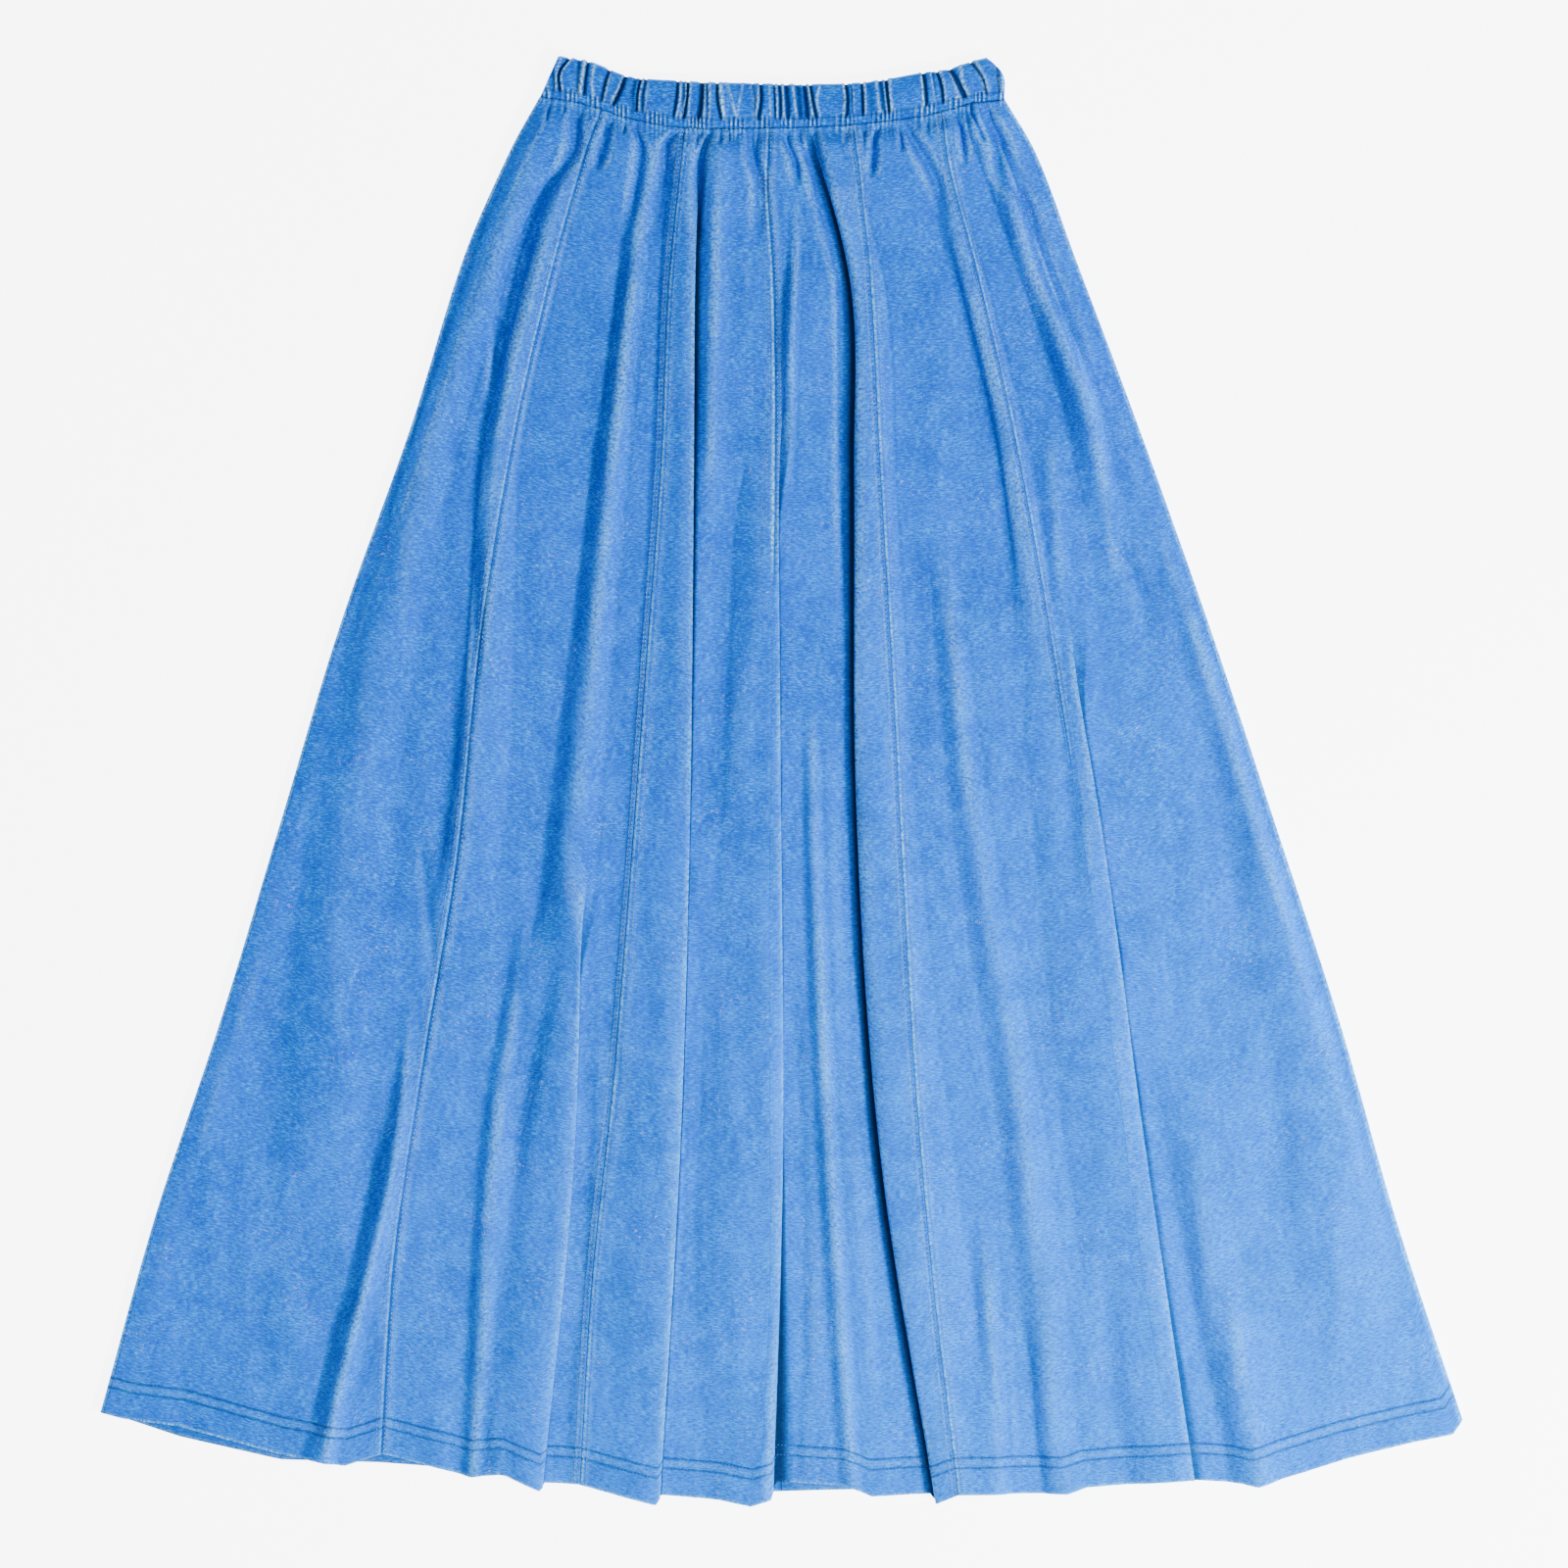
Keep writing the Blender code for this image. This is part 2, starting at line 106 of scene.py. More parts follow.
CREVICE_SHADE = {
    # Painted shade in the strip beside each lap: how strongly the darkest colour is painted
    # there, and the strip's widths at the fold stations
    "gore 2 lap": (0.80, (1.2, 1.2, 1.2, 1.3, 1.6, 2.4)),
    "gore 3 lap": (0.98, (1.5, 4.5, 3.4, 1.2, 1.2, 1.2)),
    "seam 3 lap": (0.93, (1.2, 1.2, 1.2, 1.2, 1.3, 11.0)),
    "seam 4 lap": (0.96, (1.6, 5.0, 5.5, 4.8, 6.5, 6.0)),
    "seam 5 lap": (0.70, (1.0, 1.0, 1.0, 1.0, 1.6, 5.0)),
}
FOLD_CLEAR_OF_EDGE = 14.0
WAIST_FOLD = 0.35
WAIST_FOLD_GROWTH = 0.08
CREASES = {
    # name: (((below the casing, X), ...), height, half width)
    "gore 1, first gather": (((1, -151), (14, -153)), -2.5, 2.2),
    "gore 1, second gather": (((2, -142), (8, -142)), -1.5, 1.5),
    "gore 1, long valley": (
        ((3, -135), (27, -136), (37, -140), (61, -156), (83, -167), (102, -175),
         (128, -181), (191, -187), (223, -193)), -4, 5
    ),
    "gore 1, valley by the seam": (((267, -196), (292, -199), (343, -199), (393, -201)), -2.5, 5),
    "gore 1, rubbed crest": (((600, -243), (690, -252), (760, -268), (825, -285), (885, -297)), 2.4, 4),
    "gore 1, small crease": (((480, -235), (527, -230), (574, -226)), -1.2, 3),
    "gore 2, by seam 1": (((4, -112), (10, -114), (22, -117), (35, -120)), -4, 3.5),
    "gore 2, second gather": (((2, -102), (10, -103)), -1.5, 1.8),
    "gore 2, third gather": (((4, -97), (16, -92), (50, -96), (66, -99)), -3, 4),
    "gore 2, by seam 2": (((3, -69), (11, -75), (23, -76), (47, -80), (73, -83)), -2.5, 5),
    "gore 2, low valley": (((565, -151), (622, -164), (694, -175), (759, -182), (856, -191)), -3.5, 6),
    "gore 2, low ridge": (((664, -175), (716, -180), (792, -186), (843, -189), (887, -190)), 4, 6),
    "gore 2, beside its lap": (
        ((595, -126), (691, -129), (754, -134), (802, -139), (848, -144), (885, -148)), -2.5, 7
    ),
    "gore 3, first gather": (((3, -52), (6, -53)), -1.5, 1.5),
    "gore 3, slit": (((2, -46), (8, -49), (20, -53), (45, -55), (72, -54)), -5, 3),
    "gore 3, beside the slit": (
        ((9, -40), (22, -42), (72, -43), (123, -44), (185, -46), (248, -48)), 4.5, 8
    ),
    "gore 3, second gather": (((3, -34), (8, -34)), -1.5, 1.5),
    "gore 3, by seam 3": (((3, -21), (20, -19), (32, -15), (44, -14), (70, -15)), -3, 4.5),
    "gore 3, recess": (((261, -38), (331, -42), (401, -48), (457, -56), (489, -59)), -1.2, 9),
    "gore 3, diagonal ridge": (((273, -14), (317, -18), (408, -29), (450, -38), (489, -48)), 1.1, 12),
    "gore 3, low recess": (((521, -53), (616, -57), (711, -60), (806, -64), (881, -69)), -2.5, 8),
    "gore 4, first gather": (((0, 1), (7, 2), (21, 8), (37, 11)), -3, 3.5),
    "gore 4, second gather": (((7, 11), (16, 15), (24, 17)), -2, 3),
    "gore 4, ridge by seam 3": (((95, 9), (136, 5), (168, 4)), 3, 6),
    "gore 4, long valley": (
        ((1, 20), (9, 20), (21, 21), (33, 23), (60, 30), (87, 38), (105, 41), (147, 42),
         (228, 42), (303, 42)), -5, 5
    ),
    "gore 4, low valley": (
        ((368, 43), (463, 44), (527, 46), (589, 53), (664, 58), (746, 66), (810, 73),
         (868, 85)), -3, 8
    ),
    "gore 4, under its lap": (((770, 4), (820, 2), (889, -2)), -4, 4),
    "gore 4, hem valley": (((560, 7), (689, 9), (785, 9), (850, 5), (895, 2)), -3, 8),
    "gore 5, first gather": (((3, 55), (8, 55)), -1.5, 1.5),
    "gore 5, second gather": (((2, 64), (10, 61), (19, 60), (33, 59)), -3, 3.2),
    "gore 5, third gather": (((2, 77), (12, 78), (20, 79)), -2, 2.2),
    "gore 5, fourth gather": (((4, 80), (18, 88), (41, 100), (66, 107)), -3, 5),
    "gore 5, valley by the seam": (((331, 178), (412, 187), (500, 194)), -2.5, 8),
    "gore 5, hem valley": (((775, 155), (812, 159), (862, 164), (887, 167)), -2.5, 8),
    "gore 5, hem valley by the seam": (((752, 212), (815, 217), (879, 223)), -2.5, 9),
    "gore 6, first gather": (((4, 112), (13, 117), (19, 118), (34, 120)), -2.5, 2.5),
    "gore 6, second gather": (((6, 124), (12, 127), (26, 133)), -2, 2.5),
    "gore 6, long valley": (
        ((2, 131), (14, 135), (27, 140), (49, 144), (65, 156), (95, 165), (123, 175),
         (147, 185), (175, 194)), -5, 6
    ),
    "gore 6, ridge": (((135, 171), (189, 194), (230, 206), (250, 210)), 3, 9),
    "gore 6, short ridge": (((212, 175), (250, 178), (298, 181), (325, 183)), 3, 8),
    "gore 6, crease": (((282, 220), (327, 238), (353, 238)), -2, 6),
    "gore 6, broad valley": (((379, 274), (429, 282), (486, 293), (531, 301)), -2.5, 14),
    "gore 6, hem ridge": (((772, 297), (810, 302), (855, 311), (874, 315)), 3, 10),
    "gore 6, beside seam 5": (
        ((590, 226), (629, 235), (693, 248), (757, 261), (821, 274), (866, 282)), -3, 12
    ),
}
SLIT_STATIONS = (0.2, 0.6, 1.0)
GATHERS = (
    # X at the top, halfway and at the needle line; height, half width, how pale it is
    (-152, -153.6, -153, 0.5, 0.8, 0.8), (-149.4, -149.1, -148.8, -1.2, 1.3, 0),
    (-143.9, -147.2, -147.4, 0.7, 0.8, 0.9), (-138.2, -145.3, -145, -2.4, 1.1, 0),
    (-136.3, -144, -143.4, 0.8, 0.8, 0.9), (-132.2, -133.1, -133.8, -1.2, 1.4, 0),
    (-128, -130.6, -132, 0.9, 1.6, 0.9), (-126.4, -128, -129.3, -2.2, 1.1, 0),
    (-122.2, -123.8, -122.9, 0.3, 0.9, 0.6), (-112.3, -115.5, -117.8, -1.8, 1.3, 0),
    (-111.4, -114.2, -116.5, 0.6, 0.9, 0.7), (-103, -106.9, -111.7, 0.8, 0.9, 0.8),
    (-101.8, -105.3, -110.1, -2.6, 1.3, 0), (-95.4, -97.3, -96.3, -1.2, 1.6, 0),
    (-91.8, -94.1, -94.8, -2.4, 1, 0), (-89.9, -93.1, -93.8, 0.8, 1.1, 0.9),
    (-88.6, -90.9, -91.2, -1.4, 1.3, 0), (-87, -88.6, -89.6, 0.4, 0.9, 0.6),
    (-67.5, -68.8, -70.7, -1.8, 1.2, 0), (-66.2, -66.6, -69.1, 0.7, 0.8, 0.9),
    (-63.7, -64, -65, -1.2, 1, 0), (-62.6, -62.7, -65.9, 0.7, 0.8, 0.9),
    (-61.1, -61.8, -64, -2.6, 1, 0), (-59.3, -60.5, -61.1, 0.6, 0.8, 0.8),
    (-51.8, -52.5, -54.4, -2.6, 1.8, 0), (-50.2, -50.6, -51.2, 0.6, 0.8, 0.7),
    (-48.8, -48.6, -48.3, -1.2, 1, 0), (-47, -47.4, -47.7, 0.7, 0.8, 0.9),
    (-41.9, -41.9, -39.7, -2.4, 1.1, 0), (-40.8, -39.7, -37.8, 0.9, 1.5, 1),
    (-36.2, -32.6, -29.6, 0.5, 0.9, 0.7), (-25.3, -27.5, -29.4, 0.4, 0.9, 0.6),
    (-20.2, -18.2, -17, 0.4, 0.7, 0.6), (-19.5, -17.9, -17.6, -1, 1, 0),
    (-15, -15.4, -17.8, 0.9, 1.2, 0.9), (-13.8, -13.4, -15.4, -2.4, 1.1, 0),
    (-8, -7.7, -7.4, 0.3, 0.6, 0.6), (-4.8, -4.5, -4.2, -1.6, 0.8, 0),
    (-4.2, -3.2, -3, 0.6, 0.8, 0.8), (-1.5, -1, -1, -1.8, 1, 0), (0.3, 1.3, 1.5, 0.7, 0.8, 0.8),
    (2.9, 3.5, 4.2, -1.8, 1.8, 0), (6.7, 8.3, 10, 0.7, 0.9, 0.85), (10.2, 11.2, 12.2, -1.4, 2, 0),
    (14.7, 15.7, 16.6, -2.2, 1.4, 0), (17, 18.9, 20.8, 0.8, 1, 0.95),
    (18.6, 20.2, 22.4, -2.4, 1, 0), (25.3, 22.7, 25.3, 0.5, 0.9, 0.7),
    (40.6, 41.6, 40.3, 0.8, 1, 0.9), (41.9, 42.9, 42.6, -2.2, 1.2, 0),
    (45.4, 45.8, 46.4, -0.8, 0.8, 0), (46.4, 47, 47.4, 0.3, 0.6, 0.5),
    (52.4, 52.8, 53.1, -2.2, 1, 0), (53.8, 54.4, 54.7, 0.8, 0.9, 0.9),
    (56.6, 57.9, 58.6, -0.8, 2.5, 0), (61.8, 62.7, 64.6, 0.7, 0.9, 0.9),
    (64.3, 65.6, 66.9, -1.4, 1.6, 0), (66.2, 67.5, 68.8, 0.4, 0.7, 0.6),
    (68.2, 69.1, 70.4, -2.6, 1, 0), (70.4, 70.4, 71.7, 0.9, 1.2, 0.95),
    (90.6, 92.2, 93.1, 0.8, 0.9, 0.95), (92.5, 93.8, 94.7, -2.4, 1.2, 0),
    (97, 98.9, 100.8, 0.3, 0.6, 0.5), (98.2, 99.5, 100.8, -0.8, 0.8, 0),
    (101.4, 104.3, 105.6, -2.4, 1, 0), (103.4, 105.6, 106.9, 0.8, 1, 0.95),
    (109.1, 113, 115.5, 0.8, 1, 0.9), (109.8, 114.9, 120, -2.8, 1.6, 0),
    (116.8, 117.8, 121.9, 0.8, 1.2, 0.8), (123.8, 130.9, 133.8, -2.2, 1, 0),
    (125.4, 131.5, 134.4, 1, 1.6, 0.85), (139.8, 141.1, 142.4, -1.6, 1.2, 0),
    (138.6, 141.1, 143, 0.5, 0.8, 0.6), (143.7, 144.3, 145, 0.4, 0.8, 0.6),
)
CASING_FOOT = (
    (-158, 447), (-131, 443), (-99, 433), (-62, 427), (-7, 427), (45, 429), (93, 435),
    (126, 443), (146, 445),
)
FRONT_HEM = (
    (-445, -413), (-430, -417), (-394, -422), (-329, -440), (-286, -448), (-261, -440),
    (-203, -455), (-182, -453), (-158, -464), (-155, -459), (-133, -460), (-82, -473),
    (-79, -467), (-40, -470), (-20, -474), (-7, -470), (-4, -458), (43, -461), (59, -468),
    (98, -466), (101, -472), (115, -466), (187, -466), (200, -462), (266, -457),
    (301, -459), (311, -461), (342, -452), (370, -443), (411, -433), (439, -427),
    (445, -418),
)
CREASE_DEPTH = 1.35  # times the heights above
CREASE_ENDS = (0.15, 0.4, 0.5)  # how far it goes past its ends, and how it fades
FROM_CASING = 8  # a crease that starts above this is a gather
TO_HEM = 840  # and one that ends below this runs out through the hem
GATHER_WIDTH = (0.40, 0.52, 25)  # share of its width at the casing, its growth, over this
FULLNESS = 2.5  # how far the laid front stands off the back between its folds
WAIST_FULLNESS = 1.0  # times that more where the gathers open
WAIST_FULLNESS_AT = (22.0, 26.0)  # the middle and the half width of that, below the casing
GATHER_DEPTH = 1.7  # times as deep at the casing
GATHER_FADE = 70
SHORT_GATHER = (1.8, 1.7, 1.5)  # least slit that goes on below, its depth and half width
SHORT_GATHER_ENDS = (9.0, 21.0, 13.0, 27.0, 7.0, 16.0)
SHORT_GATHER_FLARE = 0.0011  # how fast it moves outwards with the skirt
SHORT_GATHER_SLANT = 90
FULLNESS_AT_HEM = 1.2
PUCKER_PITCH = 3.1
PUCKER_RISE = 0.6
PUCKER_FADE = 3.0
SEARCH_STEPS = 90
SEARCH_SHARE = 0.3
SOFT_FROM = 14  # below the casing, the cloth stands as full as it will
FLAT_AT = 0.25  # how softly it settles on the back
UNDULATIONS = (
    # turn of the waves, their length, phase and height
    (0.05, 23.0, 0.4, 0.14), (-0.11, 31.0, 2.1, 0.20), (0.21, 47.0, 4.4, 0.30),
    (-0.33, 17.0, 1.3, 0.10), (1.2, 61.0, 5.2, 0.32), (-0.9, 37.0, 3.3, 0.22),
)


def smooth(share):
    """Ease from 0 to 1, held at both ends."""
    share = np.clip(share, 0.0, 1.0)
    return share * share * (3 - 2 * share)


def along(stations, values, v):
    """A table's values at v, on a smooth curve through its entries."""
    stations, values = np.asarray(stations, float), np.asarray(values, float)
    v = np.clip(np.asarray(v, float), stations[0], stations[-1])
    i = np.clip(np.searchsorted(stations, v, side="right") - 1, 0, len(stations) - 2)
    step = stations[i + 1] - stations[i]
    t = (v - stations[i]) / step
    rise = values[i + 1] - values[i]
    before, after = np.maximum(i - 1, 0), np.minimum(i + 2, len(stations) - 1)
    start = (values[i + 1] - values[before]) / (stations[i + 1] - stations[before]) * step
    end = (values[after] - values[i]) / (stations[after] - stations[i]) * step
    return values[i] + t * (
        start + t * (3 * rise - 2 * start - end + t * (start + end - 2 * rise))
    )


def across(line, x):
    return np.interp(x, [p[0] for p in line], [p[1] for p in line])


def curved_across(line, x):
    return along([p[0] for p in line], [p[1] for p in line], x)


def front_line(index, v):
    return along(STATIONS, tuple(FRONT_LINES.values())[index], v)


def folded(s, v):
    """Height and sideways lean of all the folds at the cloth points s, and how much painted
    highlight each point gets from a lap's edge and painted shade from the recess beside it."""
    height_sum, lean_sum, rim, recess = (np.zeros(np.broadcast(s, v).shape) for _ in range(4))
    spread = FOLD_WIDTH_AT_WAIST + (1 - FOLD_WIDTH_AT_WAIST) * smooth(v / FOLD_OPEN)
    for name, (crests, first, last, height, half_width, lean) in FOLDS.items():
        strength = smooth((v - first) / FOLD_START) * smooth((last - v) / FOLD_END)
        side = 1 if lean >= 0 else -1
        crest = along(FOLD_STATIONS, crests, v)
        t = (s - crest + lean * spread * strength) / (half_width * spread) * side
        bell = np.maximum(1 - t * t, 0.0) ** 2
        if lean:
            rise = smooth((t - LAP_RISE[0]) / LAP_RISE[1])
            fall = smooth((t - LAP_FALL[0]) / LAP_FALL[1])
            lap_height = LAP_HEIGHT * height if abs(lean) > LAP_LEAN else height
            height_sum += lap_height * strength * rise * (1 - fall)
            lean_sum += lean * spread * strength * bell
            if abs(lean) > LAP_LEAN:
                # A painted highlight along the lap's edge, where light catches the fold
                edge = np.exp(-(((t - LAP_RIM[0]) / LAP_RIM[1]) ** 2))
                rim = np.maximum(rim, strength * edge)
                # Painted shade in the recess beside the lap's edge, where its shadow falls
                deep, widths = CREVICE_SHADE[name]
                width = along(FOLD_STATIONS, widths, v)
                past = (t - LAP_FOOT) * half_width * spread / width
                beside = smooth((t - CREVICE_START[0]) / CREVICE_START[1])
                beside = beside * (1 - smooth(past - CREVICE_FADE))
                recess = np.maximum(recess, deep * strength * beside)
        else:
            height_sum += height * strength * bell
    return height_sum, lean_sum, rim, recess


def unleaned(x, v, start):
    """The cloth points whose places, once the folds lean, are x. Under a lap there are three,
    and the search finds the one on the start's side."""
    s = np.array(x, float) + start
    for _ in range(SEARCH_STEPS):
        s += SEARCH_SHARE * (x - s - folded(s, v)[1])
    return s


def creased(s, v):
    """Height of the gathers, small ridges and valleys that the solid leaves out."""
    below = v * LENGTH
    total = np.zeros(np.broadcast(s, v).shape)
    narrow, opened, open_at = GATHER_WIDTH
    past, fade_in, fade_out = CREASE_ENDS
    for path, height, half_width in CREASES.values():
        stations, places = zip(*path)
        first, last = stations[0], stations[-1]
        reach = last - first
        if first <= FROM_CASING:
            width = half_width * (narrow + opened * smooth(below / open_at))
            strength = GATHER_DEPTH - (GATHER_DEPTH - 1) * smooth(below / GATHER_FADE)
        else:
            width = half_width
            strength = smooth((below - first + past * reach) / (fade_in * reach))
        if last < TO_HEM:
            out = smooth((last + past * reach - below) / (fade_out * reach))
            strength = strength * out
        centre = along(stations, places, below)
        total += CREASE_DEPTH * height * strength * np.exp(-(((s - centre) / width) ** 2))
    least, depth, half_width = SHORT_GATHER
    slits = [row for row in GATHERS if row[3] <= -least]
    for index, (_, middle, foot, _, _, _) in enumerate(slits):
        end = SHORT_GATHER_ENDS[index % len(SHORT_GATHER_ENDS)]
        centre = foot * (1 + SHORT_GATHER_FLARE * below)
        centre = centre + (foot - middle) * below / SHORT_GATHER_SLANT
        width = half_width * (0.6 + below / end)
        fade = 1 - smooth((below - 0.3 * end) / (0.8 * end))
        total -= depth * fade * np.exp(-(((s - centre) / width) ** 2))
    return total


def waist_lift(v):
    return WAIST_LIFT * np.exp(-v * LENGTH / WAIST_LIFT_LENGTH)


def edge_level(v):
    return FRONT_LEVEL + EDGE_LIFT + waist_lift(v) / 2


def bend_radius(v):
    return (edge_level(v) - BACK_LEVEL) / 2


def pucker(x):
    """The fine even waves that the elastic pulls into a stitched line."""
    phase = 2.6 * np.sin(x / 9.7) + 1.9 * np.sin(x / 4.1 + 1.0)
    size = 0.62 + 0.38 * np.sin(x / 3.3 + 2.0 * np.sin(x / 21.0))
    return size * np.sin(2 * math.pi * x / PUCKER_PITCH + phase)


def undulation(x, below):
    """The shallow unevenness of laid cloth, longer down the skirt than across it."""
    wave = np.zeros_like(x)
    for angle, wave_length, phase, height in UNDULATIONS:
        turned = x * math.cos(angle) + below * math.sin(angle) * 0.35
        warp = 1.4 * np.sin(below / 71.0 + phase) + 0.9 * np.sin(x / 53.0 - below / 117.0)
        wave += height * np.sin(turned / wave_length * 2 * math.pi + warp + phase)
    return wave


def front_place(s, v):
    """X and Z of the front's cloth points s, at the middle of the wall, and how much painted
    highlight of the laps' edges and painted shade of their recesses they get."""
    left, right = front_line(0, v), front_line(GORES, v)
    below = v * LENGTH
    height, lean, rim, recess = folded(s, v)
    edge = np.minimum(s - left, right - s)
    near_edge = np.exp(-((np.maximum(edge, 0.0) / EDGE_LIFT_WIDTH) ** 2))
    level = FRONT_LEVEL + waist_lift(v)
    level = level + (edge_level(v) - level) * near_edge
    clear = smooth(edge / FOLD_CLEAR_OF_EDGE)
    height = height * clear * smooth(WAIST_FOLD + v / WAIST_FOLD_GROWTH)
    fullness = FULLNESS_AT_HEM + (FULLNESS - FULLNESS_AT_HEM) * smooth((1 - v) / 0.25)
    centre, spread = WAIST_FULLNESS_AT
    fullness = fullness * (1 + WAIST_FULLNESS * np.exp(-(((below - centre) / spread) ** 2)))
    x = s + lean
    soft = fullness * smooth(below / SOFT_FROM) + creased(x, v) + undulation(x, below) * smooth(v / 0.1)
    fine = PUCKER_RISE * pucker(s) * np.exp(-below / PUCKER_FADE)
    # The cloth never sinks into the back
    above = height + (soft + fine) * clear
    above = 0.5 * (above + np.sqrt(above * above + FLAT_AT))
    return x, level + above, rim, recess


def gore_y(x_at_waist, x_at_hem, v, hem_line):
    top = curved_across(CASING_FOOT, x_at_waist) - SEAM_GAP
    return top + (across(hem_line, x_at_hem) - top) * v


# Rows close together at the casing and the hem, and columns close together at the seams
STITCH_V = 1 - HEM_DEPTH / LENGTH
NEAR_CASING, NEAR_HEM = 0.05, STITCH_V - 0.006
GORE_ROWS = np.concatenate([
    np.linspace(0, NEAR_CASING, 34, endpoint=False),
    np.linspace(NEAR_CASING, NEAR_HEM, 166, endpoint=False),
    np.linspace(NEAR_HEM, 1.0, 44),
])[:, None]
SEAM_STEPS = np.array((0.01, 0.4, 0.8, 1.2, 1.6, 2.2, 2.9, 3.7, 4.7, 6.0))
GORE_COLUMNS = 76
HEM_NEEDLES = (24.0, 17.6)  # above the hem's edge
GROOVE = 0.6  # the seam's own line lies this deep
GROOVE_HALF = 0.7
ALLOWANCE = 4.4  # the seam's turned-in edges pad it out to here
ALLOWANCE_RISE = 0.4
RIM_HIGHLIGHT = 0.40
PUCKER_WORN = 0.75
RIDGE_BEND = 0.16  # curvature, per millimetre, at which a crease's crest is palest and its valley most darkly painted
RIDGE_WEAR_AND_HIGHLIGHT = 0.30
VALLEY_SHADE = 0.20
EDGE_WORN = 0.5
SEAM_WORN = (0, -0.6, 0.8, -1, 0.8, 0.6, 0)  # how pale each seam is rubbed, by its side
SEAM_SHOWS_TO = (2, 2, 2, 0.29, 2, 0.44, 2)  # below this share a fold's edge hides it
SEAM_HIDES_OVER = 0.05
LAP_SIDE = (0, 0, 0, -20, 20, -20, 0)  # where the search for each seam starts
# Soft lines at a distance from a seam or the hem's edge: place, half width, strength
RUBBED_LINE = (1.4, 0.6)
SHELTERED_LINE = (3.0, 0.7, 0.25)
OUTER_LINE = (5.0, 1.1, 0.14)
GROOVE_KEPT = (0.0, 0.55, 0.78)
STITCHES_KEPT = (1.5, 0.5, 0.52)
HEM_EDGE_WORN = (0.0, 1.2, 0.8)
BETWEEN_NEEDLES_WORN = (sum(HEM_NEEDLES) / 2, 1.9, 0.15)
NEEDLE_KEPT = (0.8, 0.68)
HEM_KEPT = 0.07
NO_SEAM = 99.0  # the distance at a side edge, where no seam is
STRETCH_STEP = 0.2
HEM_STEP = 0.001  # half the share of the length over which the hem's layer begins
ROLL_STEPS = 13


def seam_shows(seam, v):
    return 1 - smooth((v - SEAM_SHOWS_TO[seam]) / SEAM_HIDES_OVER)


def seam_relief(distance):
    """Height of the cloth near a seam: a groove between two padded strips."""
    strip = smooth((ALLOWANCE + 0.8 - distance) / 1.4)
    return ALLOWANCE_RISE * strip - GROOVE * np.exp(-((distance / GROOVE_HALF) ** 2))


def side_roll(v, edge, side):
    """Columns from under the skirt, round its side edge and up to the top of the bend."""
    radius = bend_radius(v)
    centre = edge - side * radius
    x = [centre - side * (UNDERLAP - radius)]
    z = [np.full_like(v, BACK_LEVEL)]
    for turn in np.radians(np.linspace(0, 180, ROLL_STEPS)):
        x.append(centre + side * radius * math.sin(turn))
        z.append(BACK_LEVEL + radius * (1 - math.cos(turn)))
    return np.hstack(x), np.hstack(z)


def soft_line(distance, at, half_width, strength):
    return strength * np.exp(-(((distance - at) / half_width) ** 2))


def worn_by_seam(distance, paled):
    """How pale a seam's edge is: a bright line where it is rubbed, and a faint outer strip."""
    line = (*RUBBED_LINE, paled) if paled else SHELTERED_LINE
    return np.maximum(soft_line(distance, *line), soft_line(distance, *OUTER_LINE))


def kept_by_seam(distance, paled):
    """How much of the deep dye a seam keeps: in its groove, and along the sheltered stitches."""
    groove = soft_line(distance, *GROOVE_KEPT)
    if paled:
        return groove
    return np.maximum(groove, soft_line(distance, *STITCHES_KEPT))


def stretch(s, v):
    """Length of the cloth's section for each millimetre of s."""
    ahead, behind = front_place(s + STRETCH_STEP, v), front_place(s - STRETCH_STEP, v)
    return np.hypot(ahead[0] - behind[0], ahead[1] - behind[1]) / (2 * STRETCH_STEP)


def crease_wear_and_painted_light(x, z):
    """How pale the crests of the creases are, partly from wear and partly as a painted highlight, and how
    dark their valleys are painted as shade.
    """
    step = np.maximum(np.hypot(np.gradient(x, axis=1), np.gradient(z, axis=1)), 0.05)
    bend = np.gradient(np.gradient(z, axis=1) / step, axis=1) / step
    return RIDGE_WEAR_AND_HIGHLIGHT * smooth(-bend / RIDGE_BEND), VALLEY_SHADE * smooth(bend / RIDGE_BEND)


